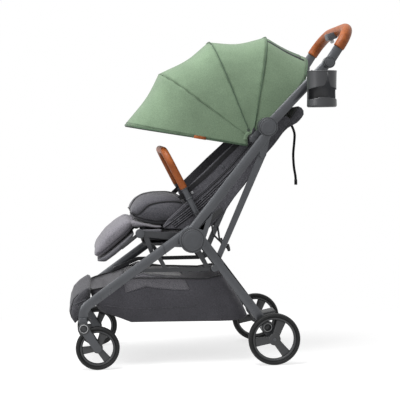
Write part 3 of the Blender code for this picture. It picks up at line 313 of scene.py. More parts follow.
# %% [markdown]
# ## Recipes for materials
# Threads and flecks in cloth, grain in leather, the fine satin of powder coat, and the matte skin of
# moulded plastic and rubber.
# %% Recipes for materials
def cloth(name, dark, light, threads=420.0, fleck=260.0, sheen=0.25, folds=0.35):
    """Woven cloth spun from two shades of yarn, with soft creases."""
    made, tree, shader = material_with(name)
    flecks = ramp(tree, noise(tree, fleck, 4.0, 0.75), colour(*dark), colour(*light), 0.36, 0.64)
    faded = ramp(tree, noise(tree, 9.0, 3.0), (0.88, 0.88, 0.88, 1.0), (1.06, 1.06, 1.06, 1.0), 0.3, 0.7)
    tree.links.new(blend_colours(tree, "MULTIPLY", 1.0, flecks, faded), shader.inputs["Base Color"])
    creases = relief(tree, shader, noise(tree, 38.0, 3.0, 0.6), folds, 0.0016)
    relief(tree, shader, weave(tree, threads), 0.35, 0.00025, creases)
    shader.inputs["Roughness"].default_value = 0.88
    shader.inputs["Specular IOR Level"].default_value = 0.22
    shader.inputs["Sheen Weight"].default_value = sheen
    shader.inputs["Sheen Roughness"].default_value = 0.5
    return made


def moulded(name, shade, rough=0.5, grain=900.0, depth=0.00012, metal=0.0, gloss=0.5, coat=0.0):
    """Moulded plastic, rubber or powder coat: a fine even grain, with faint handling marks."""
    made, tree, shader = material_with(name)
    low = tuple(c * 0.86 for c in colour(*shade)[:3]) + (1.0,)
    tree.links.new(
        ramp(tree, noise(tree, 24.0, 4.0, 0.6), low, colour(*shade), 0.3, 0.62), shader.inputs["Base Color"]
    )
    worn = add(tree, "ShaderNodeMapRange", {"To Min": rough - 0.05, "To Max": rough + 0.07})
    tree.links.new(noise(tree, 60.0, 3.0), worn.inputs["Value"])
    tree.links.new(worn.outputs["Result"], shader.inputs["Roughness"])
    relief(tree, shader, noise(tree, grain, 2.0), 0.25, depth)
    shader.inputs["Metallic"].default_value = metal
    shader.inputs["Specular IOR Level"].default_value = gloss
    shader.inputs["Coat Weight"].default_value = coat
    shader.inputs["Coat Roughness"].default_value = 0.3
    return made


def hide(name, dark, light):
    """Grained leather: small cells with painted shade darkening the creases between them, darker where hands
    and folds mark it.
    """
    made, tree, shader = material_with(name)
    place = add(tree, "ShaderNodeTexCoord")
    cells = add(tree, "ShaderNodeTexVoronoi", {"Scale": 680.0}, feature="DISTANCE_TO_EDGE")
    tree.links.new(place.outputs["Object"], cells.inputs["Vector"])
    mottle = ramp(tree, noise(tree, 42.0, 5.0, 0.65), colour(*dark), colour(*light), 0.3, 0.7)
    # The cell edges are darkened as painted shade in the grain's creases.
    crease = ramp(tree, cells.outputs["Distance"], (0.72, 0.66, 0.62, 1.0), (1.0, 1.0, 1.0, 1.0), 0.0, 0.12)
    tree.links.new(blend_colours(tree, "MULTIPLY", 0.8, mottle, crease), shader.inputs["Base Color"])
    soft = relief(tree, shader, noise(tree, 60.0, 3.0), 0.2, 0.0004)
    relief(tree, shader, cells.outputs["Distance"], 0.35, 0.0002, soft)
    shader.inputs["Roughness"].default_value = 0.46
    shader.inputs["Specular IOR Level"].default_value = 0.28
    shader.inputs["Coat Weight"].default_value = 0.03
    shader.inputs["Coat Roughness"].default_value = 0.35
    return made


print("recipes ready")

# %% [markdown]
# ## The materials of the stroller
# Powder-coated aluminium, three shades of moulded plastic, rubber, green and grey cloth, webbing, tan
# leather and thread. The basket's mesh lets light through between its threads.
# %% Mix the materials
frame_coat = moulded("frame_coat", (82, 84, 88), 0.28, 1400.0, 0.00008, 0.35, 0.5, 0.12)
dark_coat = moulded("dark_coat", (62, 63, 66), 0.42, 1400.0, 0.00008, 0.3, 0.5, 0.1)
grey_plastic = moulded("grey_plastic", (78, 80, 84), 0.42, 900.0, 0.0001)
black_plastic = moulded("black_plastic", (48, 49, 51), 0.45, 900.0, 0.00014)
wheel_plastic = moulded("wheel_plastic", (50, 51, 53), 0.38, 900.0, 0.0001, 0.0, 0.5, 0.15)
cup_plastic = moulded("cup_plastic", (62, 63, 66), 0.34, 1000.0, 0.0001, 0.0, 0.5, 0.1)
pale_plastic = moulded("pale_plastic", (182, 183, 185), 0.4, 900.0, 0.00008)
steel = moulded("steel", (140, 141, 143), 0.32, 900.0, 0.00005, 0.9)
tyre_rubber = moulded("tyre_rubber", (15, 16, 17), 0.6, 700.0, 0.0003, 0.0, 0.35)
clear_button = moulded("clear_button", (222, 222, 224), 0.25, 900.0, 0.00004, 0.0, 0.5, 0.4)
canopy_cloth = cloth("canopy_cloth", (109, 131, 106), (136, 158, 131), 420.0, 420.0, 0.2, 0.3)
canopy_piping = cloth("canopy_piping", (72, 94, 74), (102, 124, 101), 520.0, 420.0, 0.2, 0.1)
seat_cloth = cloth("seat_cloth", (72, 72, 77), (110, 109, 115), 420.0, 330.0, 0.25, 0.4)
dark_cloth = cloth("dark_cloth", (60, 60, 64), (96, 95, 100), 420.0, 300.0, 0.2, 0.4)
black_cloth = cloth("black_cloth", (30, 30, 32), (50, 50, 52), 420.0, 300.0, 0.2, 0.3)
pale_cloth = cloth("pale_cloth", (106, 104, 110), (150, 147, 154), 420.0, 330.0, 0.25, 0.4)
basket_cloth = cloth("basket_cloth", (70, 69, 74), (91, 90, 96), 420.0, 380.0, 0.18, 0.5)
mesh_cloth = cloth("mesh_cloth", (96, 95, 100), (140, 138, 144), 300.0, 520.0, 0.2, 0.3)
net = mesh_cloth.node_tree
holes = ramp(net, weave(net, 330.0), (0.52, 0.52, 0.52, 1.0), (1.0, 1.0, 1.0, 1.0), 0.0, 0.25)
net.links.new(holes, net.nodes["Principled BSDF"].inputs["Alpha"])
# The tub's inner face is painted pale: painted light, standing for light that comes through the basket's mesh
# walls.
lining_cloth = cloth("lining_cloth", (190, 189, 193), (222, 221, 225), 300.0, 500.0, 0.2, 0.3)
webbing = cloth("webbing", (34, 34, 36), (56, 56, 58), 520.0, 500.0, 0.15, 0.1)
tan_leather = hide("tan_leather", (134, 68, 29), (176, 98, 47))
pale_thread = moulded("pale_thread", (196, 140, 88), 0.7)
grey_thread = moulded("grey_thread", (132, 130, 134), 0.7)
print("materials", len(bpy.data.materials))

# %% [markdown]
# ## The rigid parts
# Tubes, brackets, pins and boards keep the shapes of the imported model, because those carry the load
# and fit each other. Each gets its material, welded and softened edges, and smooth shading.
# %% Dress the rigid parts
KEPT = {
    frame_coat: (
        "front_leg",
        "main_tube",
        "handle_tube",
        "rear_leg",
        "bumper_arm",
        "handle_collar",
        "strut",
    ),
    dark_coat: ("seat_side_frame", "front_cross_tube", "rear_cross_tube", "canopy_bow"),
    grey_plastic: ("hub_pin", "fold_pin", "button_box", "rear_arm", "caster_block", "caster_fork"),
    black_plastic: ("seat_board", "backrest_board", "leg_rest_board", "brake_pedal", "swivel_lock"),
    clear_button: ("fold_button",),
}


def soften(thing, width=0.0005, angle=30.0):
    """Rounds the edges sharper than the angle, as a mould or a polishing wheel leaves them."""
    weld = thing.modifiers.new("weld", "WELD")
    weld.merge_threshold = 0.00001
    round_off = thing.modifiers.new("round_off", "BEVEL")
    round_off.width = width
    round_off.segments = 2
    round_off.limit_method = "ANGLE"
    round_off.angle_limit = math.radians(angle)
    round_off.harden_normals = True
    round_off.use_clamp_overlap = False


dressed = 0
for paint, starts in KEPT.items():
    for name, thing in nodes.items():
        if name.startswith(starts):
            thing.data.materials.clear()
            thing.data.materials.append(paint)
            custom = thing.data.attributes.get("custom_normal")
            if custom:
                thing.data.attributes.remove(custom)
            thing.data.shade_smooth()
            soften(thing)
            dressed += 1
print("dressed", dressed, "rigid parts")

# %% [markdown]
# ## Meshes and outlines
# Every shape is a grid of points closed into a mesh, and every tube, cord or strap starts from a small
# outline.
# %% Meshes and outlines
def build(name, points, faces, paint, body):
    """A smooth mesh from points in the frame builder's own sizes, riding on a body."""
    mesh = bpy.data.meshes.new(name)
    mesh.from_pydata([tuple(Vector(p) + shift) for p in points], [], faces)
    form = bmesh.new()
    form.from_mesh(mesh)
    bmesh.ops.recalc_face_normals(form, faces=form.faces)
    form.to_mesh(mesh)
    form.free()
    mesh.shade_smooth()
    mesh.materials.append(paint)
    made = bpy.data.objects.new(name, mesh)
    bpy.context.scene.collection.objects.link(made)
    if body:
        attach(made, body)
    return made


def quads(rows, columns, around=False, loop=False):
    """Faces over a grid of points; around closes each row, loop joins the last row to the first."""
    found = []
    for i in range(rows if loop else rows - 1):
        for j in range(columns if around else columns - 1):
            a, b = i * columns + j, i * columns + (j + 1) % columns
            c, d = (a + columns) % (rows * columns), (b + columns) % (rows * columns)
            found.append((a, b, d, c))
    return found


def circle(radius, count=12):
    """A circle as a ring of points."""
    return [
        (radius * math.cos(2 * math.pi * n / count), radius * math.sin(2 * math.pi * n / count))
        for n in range(count)
    ]


def oval(width, height, power=0.5, count=28):
    """A rounded rectangle as a ring of points."""
    ring = []
    for n in range(count):
        c, s = math.cos(2 * math.pi * n / count), math.sin(2 * math.pi * n / count)
        ring.append(
            (width / 2 * math.copysign(abs(c) ** power, c), height / 2 * math.copysign(abs(s) ** power, s))
        )
    return ring


print("outlines ready")

# %% [markdown]
# ## Sweep and lathe
# Two ways of making shapes cover nearly everything hard here. A sweep pushes a small outline along a
# path, for tubes, piping and webbing. A lathe turns a profile, for wheels and caps.
# %% Sweep and lathe
def sweep(name, path, section, paint, body, side=(1.0, 0.0, 0.0), swell=None, loop=False):
    """Pushes the section along the path; swell scales it at each point."""
    path = [Vector(p) for p in path]
    count, points, across = len(path), [], Vector(side)
    for n, place in enumerate(path):
        before = path[n - 1] if n or loop else place
        after = path[(n + 1) % count] if n + 1 < count or loop else place
        ahead = (after - before).normalized()
        across = (across - ahead * across.dot(ahead)).normalized()
        lift = across.cross(ahead)
        size = swell[n] if swell else 1.0
        points += [place + size * (u * across + v * lift) for u, v in section]
    faces = quads(count, len(section), True, loop)
    if not loop:
        last = (count - 1) * len(section)
        faces += [tuple(range(len(section))), tuple(last + k for k in reversed(range(len(section))))]
    return build(name, points, faces, paint, body)


TIP = 0.0003  # a turned profile ends at this radius, just short of its axle


def lathe(name, x, centre, profile, paint, body, sides=72, ring=True):
    """Turns a profile of (radius, step outward) round an axle along X; a ring's profile is closed."""
    points = []
    for n in range(sides):
        turn = 2 * math.pi * n / sides
        points += [
            (x + out, centre[0] + r * math.cos(turn), centre[1] + r * math.sin(turn)) for r, out in profile
        ]
    wide = len(profile)
    faces = quads(sides, wide, ring, True)
    if not ring:
        faces += [tuple(n * wide for n in range(sides))]
        faces += [tuple(n * wide + wide - 1 for n in reversed(range(sides)))]
    return build(name, points, faces, paint, body)


def outward(profile, s):
    """A profile for the lathe, turned to face the side s."""
    return [(r, s * out) for r, out in profile]


def round_edge(x, centre, radius, count):
    """A circle in the side view, as a path round an axle."""
    return [
        (x, centre[0] + radius * math.cos(a), centre[1] + radius * math.sin(a))
        for a in (2 * math.pi * n / count for n in range(count))
    ]


print("sweep and lathe ready")

# %% [markdown]
# ## Paths
# A sewn or bent line is given by a few knots and a smooth curve through them. A bent tube is given by
# its corners, rounded to the bend's radius.
# %% Paths
def curve(knots, steps=6):
    """Points on a smooth curve through the knots."""
    ends = [knots[0], *knots, knots[-1]]
    made = []
    for p, q, r, s in zip(ends, ends[1:], ends[2:], ends[3:]):
        p, q, r, s = (np.array(v, float) for v in (p, q, r, s))
        for n in range(steps):
            t = n / steps
            made.append(
                0.5 * (
                    2 * q + (r - p) * t + (2 * p - 5 * q + 4 * r - s) * t * t
                    + (3 * q - p - 3 * r + s) * t**3
                )
            )
    return [tuple(v) for v in made] + [tuple(knots[-1])]


def toward(point, degrees, along, across=0.0):
    """A point in the side view, at a distance along a direction and across it."""
    turn = math.radians(degrees)
    return (
        point[0] + along * math.cos(turn) - across * math.sin(turn),
        point[1] + along * math.sin(turn) + across * math.cos(turn),
    )


def rounded(corners, radius, steps=8):
    """A path of straight runs whose corners are rounded to the radius."""
    corners = [Vector(c) for c in corners]
    made = [corners[0]]
    for before, corner, after in zip(corners, corners[1:], corners[2:]):
        a, b = (before - corner).normalized(), (after - corner).normalized()
        half = a.angle(b) / 2
        back = radius / math.tan(half)
        centre = corner + (a + b).normalized() * radius / math.sin(half)
        start, end = corner + a * back - centre, corner + b * back - centre
        whole = start.angle(end)
        for n in range(steps + 1):
            t = n / steps
            made.append(
                centre + (math.sin((1 - t) * whole) * start + math.sin(t * whole) * end) / math.sin(whole)
            )
    return made + [corners[-1]]


print("paths ready")

# %% [markdown]
# ## Working on a cloth surface
# Piping and stitches are laid on the finished surface, and sewn channels are pressed in where the
# thread pulls it down.
# %% Lay on and press in
def surface_of(thing):
    """A piece's surface, for finding the nearest point on it."""
    mesh = thing.data
    return BVHTree.FromPolygons(
        [v.co.copy() for v in mesh.vertices], [tuple(p.vertices) for p in mesh.polygons]
    )


def laid_on(thing, path, lift):
    """The path moved onto a piece's surface, raised by the lift."""
    tree = surface_of(thing)
    made = []
    for place in path:
        spot, normal, _, _ = tree.find_nearest(Vector(place) + shift)
        made.append(tuple(spot + normal * lift - shift))
    return made


def press(thing, path, depth, width):
    """Presses a sewn channel into a piece along the path."""
    line = np.array([tuple(Vector(p) + shift) for p in path])
    mesh = thing.data
    points = np.array([v.co for v in mesh.vertices])
    normals = np.array([v.normal for v in mesh.vertices])
    near = np.sqrt(((points[:, None, :] - line[None]) ** 2).sum(2)).min(1)
    points -= normals * (depth * np.exp(-((near / width) ** 2)))[:, None]
    mesh.vertices.foreach_set("co", points.astype(np.float32).ravel())
    mesh.update()


def apply_modifiers(thing):
    """Makes a piece's modifiers part of its mesh."""
    flat = bpy.data.meshes.new_from_object(thing.evaluated_get(bpy.context.evaluated_depsgraph_get()))
    paint = thing.data.materials[0]
    thing.modifiers.clear()
    thing.data = flat
    if not flat.materials:
        flat.materials.append(paint)
    flat.shade_smooth()


print("surface tools ready")

# %% [markdown]
# ## Stuffing
# A sewn pad is swelled with the cloth solver, as its filling does it, and never further than a few
# millimetres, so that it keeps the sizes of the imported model.
# %% Stuffing
SWELL_FRAMES = 20


def stuff(thing, cap, voxel=0.005):
    """Swells a closed piece like a stuffed pad; no point moves further than the cap."""
    remesh = thing.modifiers.new("remesh", "REMESH")
    remesh.mode = "VOXEL"
    remesh.voxel_size = voxel
    relax = thing.modifiers.new("relax", "SMOOTH")
    relax.iterations = 3
    apply_modifiers(thing)
    rest = np.array([v.co for v in thing.data.vertices])
    solver = thing.modifiers.new("cloth", "CLOTH")
    solver.settings.use_pressure = True
    solver.settings.uniform_pressure_force = 4.0
    solver.settings.effector_weights.gravity = 0.0
    solver.settings.quality = 4
    solver.collision_settings.use_collision = False
    solver.point_cache.frame_start, solver.point_cache.frame_end = 1, SWELL_FRAMES
    for step in range(1, SWELL_FRAMES + 1):
        bpy.context.scene.frame_set(step)
    apply_modifiers(thing)
    moved = np.array([v.co for v in thing.data.vertices]) - rest
    far = np.linalg.norm(moved, axis=1)
    moved *= np.minimum(1.0, cap / np.maximum(far, 1e-9))[:, None]
    thing.data.vertices.foreach_set("co", (rest + moved).astype(np.float32).ravel())
    thing.data.update()
    bpy.context.scene.frame_set(1)
    return thing


def finer(thing):
    """Splits each face of a swelled piece once, for a smooth outline."""
    extra = thing.modifiers.new("finer", "SUBSURF")
    extra.levels = extra.render_levels = 1
    apply_modifiers(thing)
    return thing


print("stuffing ready")

# %% [markdown]
# ## Cushions and stitches
# A cushion is a ring of points that follows a top line and a bottom line and closes at both ends.
# Thread shows as a row of small lozenges.
# %% Cushions and stitches
def stations(line, t):
    """The point a share t along a line of points."""
    line = np.array(line, float)
    steps = np.concatenate([[0], np.cumsum(np.linalg.norm(np.diff(line, axis=0), axis=1))])
    return np.array([np.interp(t * steps[-1], steps, line[:, k]) for k in range(line.shape[1])])


def cushion(
    name, top, bottom, half, paint, body, rows=30, columns=36, ends=5.0, side=0.42, crown=0.7, taper=0.05
):
    """A crowned pad between a top line and a bottom line in the side view, half wide on each side."""
    points = []
    for i in range(rows + 1):
        t = i / rows
        edge = min(abs(2 * t - 1), 0.9995)
        high, low = stations(top, t), stations(bottom, t)
        middle, lift = (high + low) / 2, (high - low) / 2 * (1 - edge**ends) ** 0.4
        wide = half * (1 - taper * edge**4)
        for j in range(columns):
            c, s = math.cos(2 * math.pi * j / columns), math.sin(2 * math.pi * j / columns)
            x = wide * math.copysign(abs(c) ** side, c)
            y, z = middle + lift * math.copysign(abs(s) ** crown, s)
            points.append((x, y, z))
    last = rows * columns
    faces = quads(rows + 1, columns, True)
    faces += [tuple(range(columns)), tuple(last + k for k in reversed(range(columns)))]
    return build(name, points, faces, paint, body)


def stitches(name, path, paint, body, long=0.0036, gap=0.0026, thick=0.0006):
    """A row of thread stitches along a path: small lozenges with a gap between them."""
    path = np.array([tuple(p) for p in path], float)
    steps = np.concatenate([[0], np.cumsum(np.linalg.norm(np.diff(path, axis=0), axis=1))])
    points, faces = [], []
    for n in range(int(steps[-1] / (long + gap))):
        start = n * (long + gap)
        a, b = (
            Vector([np.interp(s, steps, path[:, k]) for k in range(3)]) for s in (start, start + long)
        )
        ahead = (b - a).normalized()
        across = ahead.orthogonal().normalized()
        lift = across.cross(ahead)
        base = len(points)
        middle = (a + b) / 2
        points += [a, b]
        points += [middle + way * thick for way in (across, lift, -across, -lift)]
        for k in range(4):
            p, q = base + 2 + k, base + 2 + (k + 1) % 4
            faces += [(base, p, q), (base + 1, q, p)]
    return build(name, points, faces, paint, body)


print("cushions and stitches ready")

# %% [markdown]
# ## Caps on the pivots
# Round moulded caps hide the big pins at the hub and at the fold. Each has a shallow groove round its face,
# where the cap was pressed in, and a black ring round it, painted shadow in the gap where it meets the tube.
# %% Caps
MAIN_FACE = 0.2295


def cap(name, x, s, centre, radius, high, paint, body, groove=0.86):
    """A shallow round cap with a groove, on the side s faces."""
    profile = [
        (TIP, high),
        (radius * 0.55, high),
        (radius * (groove - 0.035), high * 0.96),
        (radius * groove, high - 0.0009),
        (radius * (groove + 0.035), high * 0.96),
        (radius * 0.955, high * 0.9),
        (radius, high * 0.6),
        (radius, 0.0002),
        (TIP, 0.0002),
    ]
    return lathe(name, x, centre, outward(profile, s), paint, body, 72, False)


for side, s in SIDES:
    cap(f"hub_cap_{side}", s * MAIN_FACE, s, HUB, 0.0339, 0.0046, grey_plastic, "chassis")
    cap(f"fold_cap_{side}", s * MAIN_FACE, s, APEX, 0.0259, 0.0046, grey_plastic, "main", 0.82)
    cap(f"canopy_cap_{side}", s * 0.1903, s, CANOPY_PIVOT, 0.0112, 0.0032, grey_plastic, "handle", 0.75)
# A black ring round each cap is painted shadow in the gap at its edge.
for side, s in SIDES:
    for name, centre, radius, body in (("hub", HUB, 0.0352, "chassis"), ("fold", APEX, 0.0270, "main")):
        edge = round_edge(s * (MAIN_FACE + 0.0001), centre, radius, 64)
        sweep(f"{name}_shadow_{side}", edge, circle(0.0008, 6), black_plastic, body, loop=True)

# %% [markdown]
# ## Tyres and rims
# A foam tyre with fine ribs round its tread sits on a moulded rim. Both are turned shapes, measured
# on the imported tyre, because they have to fit its axle.
# %% Tyres and rims
WHEELS = [(name, side, s) for side, s in SIDES for name in ("rear", "front")]
TYRE_DEEP = 0.0125


def ball(rim, seat, half):
    """A tyre's section: bead, rounded walls and a finely ribbed tread."""
    ring = [(seat, -half * 0.74), (seat, half * 0.74)]
    wall = (rim - seat) * 0.62
    for n in range(13):
        turn = math.radians(90 - 15 * n)
        tread = 0.00045 if n % 2 else 0.0
        r = rim - wall + (wall - tread) * abs(math.cos(turn)) ** 0.8
        ring.append((r, half * math.copysign(abs(math.sin(turn)) ** 0.7, math.sin(turn))))
    return ring


def corner(name, side):
    """A packed tyre's place across, its axle in the side view, its radius and half its width."""
    low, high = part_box(f"{name}_{side}_tyre")
    x = (low[0] + high[0]) / 2 - shift.x
    centre = ((low[1] + high[1]) / 2 - shift.y, (low[2] + high[2]) / 2)
    return x, centre, (high[2] - low[2]) / 2, (high[0] - low[0]) / 2


CORNERS = {(name, side): corner(name, side) for name, side, s in WHEELS}
for (name, side), (x, centre, radius, half) in CORNERS.items():
    body = f"{name}_wheel_{side}"
    seat = radius - TYRE_DEEP
    tyre = lathe(f"tyre_{name}_{side}", x, centre, ball(radius + 0.0001, seat, half), tyre_rubber, body, 120)
    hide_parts(f"{name}_{side}_tyre")
    web = half * 0.62
    shelf = [(seat + 0.0002, web), (seat - 0.0035, web * 1.02), (seat - 0.0075, web * 0.8)]
    rim = shelf + [(seat - 0.0085, 0.0)] + [(r, -out) for r, out in reversed(shelf)]
    made = lathe(f"rim_{name}_{side}", x, centre, rim, wheel_plastic, body, 96)
    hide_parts(f"{name}_{side}_wheel")
    print("wheel", name, side, "radius", round(radius, 4))

# %% [markdown]
# ## Spokes
# Each wheel is moulded in one piece with three wide spokes, which spread where they meet the rim.
# They are built as rings of points that taper from the hub outward.
# %% Spokes
SPOKE_TURN, SPOKE_RINGS, SPOKE_ROUND = 68.0, 7, 16


def spoke(turn, inner, outer, wide_in, wide_out, thick, x, centre):
    """The points of one tapered spoke, as rings from the hub to the rim."""
    points = []
    for n in range(SPOKE_RINGS):
        t = n / (SPOKE_RINGS - 1)
        along = inner + (outer - inner) * t
        wide = wide_in + (wide_out - wide_in) * t**1.6
        deep = thick * (1 - 0.25 * t)
        for u, v in oval(1.0, 1.0, 0.45, SPOKE_ROUND):
            place = toward(centre, turn, along, u * wide)
            points.append((x + v * deep, *place))
    return points


for (name, side), (x, centre, radius, half) in CORNERS.items():
    outer = radius - TYRE_DEEP - 0.006
    sizes = (radius * 0.1, outer, radius * 0.29, radius * 0.37, half * 1.15)
    points, faces = [], []
    for n in range(3):
        base, last = len(points), len(points) + (SPOKE_RINGS - 1) * SPOKE_ROUND
        points += spoke(SPOKE_TURN + 120 * n, *sizes, x, centre)
        faces += [tuple(base + k for k in face) for face in quads(SPOKE_RINGS, SPOKE_ROUND, True)]
        faces.append(tuple(base + k for k in range(SPOKE_ROUND)))
        faces.append(tuple(last + k for k in reversed(range(SPOKE_ROUND))))
    build(f"spokes_{name}_{side}", points, faces, wheel_plastic, f"{name}_wheel_{side}")
print("spokes of", len(CORNERS), "wheels")

# %% [markdown]
# ## Hubs
# A raised hub with a groove and the end of the axle's bolt show on both faces of a wheel.
# %% Hubs
for name, side, s in WHEELS:
    x, centre, radius, half = CORNERS[name, side]
    body = f"{name}_wheel_{side}"
    hub = [(TIP, half * 0.70), (radius * 0.12, half * 0.70), (radius * 0.135, half * 0.64)]
    hub += [(radius * 0.15, half * 0.66), (radius * 0.225, half * 0.63), (radius * 0.235, half * 0.5)]
    hub += [(radius * 0.235, 0.0), (TIP, 0.0)]
    bolt = [(TIP, half * 0.72), (0.0030, half * 0.72), (0.0036, half * 0.69)]
    bolt += [(0.0036, half * 0.6), (TIP, half * 0.6)]
    for tag, face in (("out", s), ("in", -s)):
        lathe(f"hub_{name}_{side}_{tag}", x, centre, outward(hub, face), wheel_plastic, body, 48, False)
        lathe(f"bolt_{name}_{side}_{tag}", x, centre, outward(bolt, face), dark_coat, body, 24, False)
print("hubs", 2 * len(WHEELS))

# %% [markdown]
# ## Suspension pivots
# The rear arm and the front fork each turn on a screw sunk in a dark cup, with a pale ring round it.
# %% Pivot rings
ARM_PIVOT, FORK_PIVOT, ARM_FACE = (0.2106, 0.1174), (-0.367, 0.1335), 0.2017


def screw_ring(name, x, s, centre, radius, body):
    """A dark boss, a thin pale ring and the screw's head sunk inside it."""
    boss = [(TIP, 0.0008), (radius * 1.02, 0.0008), (radius * 1.3, 0.0006), (radius * 1.38, 0.0), (TIP, 0.0)]
    lathe(f"{name}_boss", x, centre, outward(boss, s), wheel_plastic, body, 48, False)
    ring = [(0.84, 0.0006), (0.84, 0.0020), (0.9, 0.0026), (0.97, 0.0022), (1.0, 0.0012), (1.0, 0.0006)]
    ring = [(radius * share, out) for share, out in ring]
    lathe(f"{name}_ring", x, centre, outward(ring, s), pale_plastic, body, 48)
    cup = [(TIP, 0.0018), (radius * 0.34, 0.0018), (radius * 0.4, 0.0010), (radius * 0.86, 0.0010)]
    cup += [(radius * 0.86, 0.0), (TIP, 0.0)]
    lathe(f"{name}_screw", x, centre, outward(cup, s), black_plastic, body, 36, False)


for side, s in SIDES:
    faces = [abs(v[0] - shift.x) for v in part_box(f"caster_fork_{side}")]
    screw_ring(f"fork_{side}", s * max(faces), s, FORK_PIVOT, 0.0136, f"fork_{side}")
    screw_ring(f"arm_{side}", s * ARM_FACE, s, ARM_PIVOT, 0.0136, "rear_frame")
print("rings done")

# %% [markdown]
# ## The handlebar
# A bent tube wrapped in tan leather, stitched along the inside of the bend. The wrap stands a little
# proud of the dark collars at its ends, and swells where the leather is turned under.
# %% The handle's leather
TILT, COLLAR_END = (0.408, 0.947), (0.438, 0.9923)
GRIP_R = 0.0173
collar_turn = math.degrees(math.atan2(COLLAR_END[1] - TILT[1], COLLAR_END[0] - TILT[0]))
bar_at = toward(COLLAR_END, collar_turn, 0.0785)
low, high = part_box("handle_grip")
collar_x = (high[0] - low[0]) / 2 - GRIP_R


def mirrored(path):
    """The path on the stroller's other side."""
    return [(-x, y, z) for x, y, z in path]


def seam_line(path, radius, facing):
    """A line on a tube's skin, on the side that faces a point."""
    made = []
    for n, place in enumerate(path):
        ahead = (path[min(n + 1, len(path) - 1)] - path[max(n - 1, 0)]).normalized()
        way = Vector(facing) - place
        way = (way - ahead * way.dot(ahead)).normalized()
        made.append(tuple(place + way * radius))
    return made


def wrapped(name, path, radius, body, facing):
    """Leather round a tube, its turned ends and its row of stitches."""
    path = [Vector(p) for p in path]
    first, last = (path[0] - path[1]).normalized(), (path[-1] - path[-2]).normalized()
    long = [path[0] + first * 0.0002, path[0] - first * 0.002, path[0] - first * 0.006]
    long += path[1:-1] + [path[-1] - last * 0.006, path[-1] - last * 0.002, path[-1] + last * 0.0002]
    swell = [0.95, 1.01, 1.02] + [1.02] * (len(path) - 2) + [1.02, 1.01, 0.95]
    made = sweep(name, long, circle(radius, 26), tan_leather, body, swell=swell)
    seam = seam_line(long[2:-2], radius * 1.028, facing)
    sweep(f"{name}_seam", seam, oval(0.0026, 0.0007, 0.5, 8), tan_leather, body)
    stitches(f"{name}_stitches", seam_line(long[2:-2], radius * 1.05, facing), pale_thread, body)
    return made


bend_wide, bend_high, straight = 0.118, 0.0705, 0.008
near_half = [(collar_x, *COLLAR_END)]
for turn in (math.pi / 2 * n / 16 for n in range(17)):
    rise = toward(COLLAR_END, collar_turn, straight + bend_high * math.sin(turn))
    near_half.append((collar_x - bend_wide * (1 - math.cos(turn)), *rise))
handle_path = mirrored(near_half) + near_half[::-1]
handle_leather = wrapped("handle_leather", handle_path, GRIP_R, "handle_bar", (0.0, *COLLAR_END))
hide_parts("handle_grip")
print("handle leather", round(2 * collar_x, 4), "m wide, top", round(bar_at[1] + GRIP_R, 4))

# %% [markdown]
# ## The fold button and the tilt joints
# A clear button sits in the box under the handle. The handle tilts on two round joints, each under a moulded
# cap with a black ring round it, painted shadow at the cap's edge.
# %% The button and the tilt caps
lens = [(0.0, 0.4615, 1.0335), (0.0, 0.4625, 1.0290), (0.0, 0.4645, 1.0230), (0.0, 0.4655, 1.0205)]
lens_round = oval(0.0210, 0.0120, 0.6, 20)
button = sweep("fold_button_lens", lens, lens_round, clear_button, "fold_button", swell=[1.0, 1.0, 0.94, 0.7])
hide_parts("fold_button")
for side, s in SIDES:
    face = max(abs(v[0] - shift.x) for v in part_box(f"handle_collar_{side}"))
    cap(f"tilt_cap_{side}", s * face, s, TILT, 0.0150, 0.0030, grey_plastic, "handle_bar", 0.72)
    edge = round_edge(s * (face + 0.0004), TILT, 0.0160, 48)
    sweep(f"tilt_shadow_{side}", edge, circle(0.0009, 6), black_plastic, "handle_bar", loop=True)
    print("tilt cap", side, round(face, 4))

# %% [markdown]
# ## The bumper bar
# The same leather covers the upper half of the bumper bar. Below it each side shows a grey ring, and
# another one where its arm plugs onto the seat.
# %% The bumper's leather
BAR_BASE, BAR_TOP, BAR_X, BAR_R = (-0.008, 0.484), (-0.1048, 0.6782), 0.1575, 0.0106
bar_turn = math.degrees(math.atan2(BAR_TOP[1] - BAR_BASE[1], BAR_TOP[0] - BAR_BASE[0]))
bar_start = toward(BAR_BASE, bar_turn, 0.084)
corners = [(-BAR_X, *bar_start), (-BAR_X, *BAR_TOP), (BAR_X, *BAR_TOP), (BAR_X, *bar_start)]
bar_path = rounded(corners, 0.05, 14)
bumper_leather = wrapped("bumper_leather", bar_path, BAR_R * 1.08, "bumper", (0.0, *bar_start))
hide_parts("bumper_grip")
BUMPER_RINGS = (
    ("ring", (0.0795, 0.081, 0.0825, 0.0836), [0.97, 1.05, 1.05, 0.97]),
    ("step", (0.046, 0.0475, 0.049, 0.0505), [0.98, 1.03, 1.03, 0.98]),
)
for side, s in SIDES:
    for name, stops, swell in BUMPER_RINGS:
        at = [(s * BAR_X, *toward(BAR_BASE, bar_turn, along)) for along in stops]
        sweep(f"bumper_{name}_{side}", at, circle(BAR_R, 24), grey_plastic, "bumper", swell=swell)
print("bumper from", tuple(round(v, 4) for v in bar_start))

# %% [markdown]
# ## The cup holder
# A moulded cup on an arm that clamps round the handle tube. Two springy lobes hold the cup's waist,
# with a slot between them, and a window under them lets a wide bottle through. The wall is drawn as
# a grid, the openings are left out, and the rest is thickened.
# %% The cup holder
CUP_AT, CUP_R, CUP_LOW, CUP_TOP = (0.283, 0.372), 0.046, 0.8068, 0.9175
TURN_STEPS, LEVELS = 144, 56
LIP_LOW, WINDOW_LOW, SLOT_TURN = 0.9125, 0.8335, 0.24
WINDOW_FROM, WINDOW_TO = -1.4, 1.75


def lobe_edge(turn):
    """The height of the lobes' lower edge, which rises beside the slot."""
    return 0.8655 + 0.005 * math.cos(2 * turn) + 0.022 * math.exp(-(((turn - SLOT_TURN) / 0.17) ** 2))


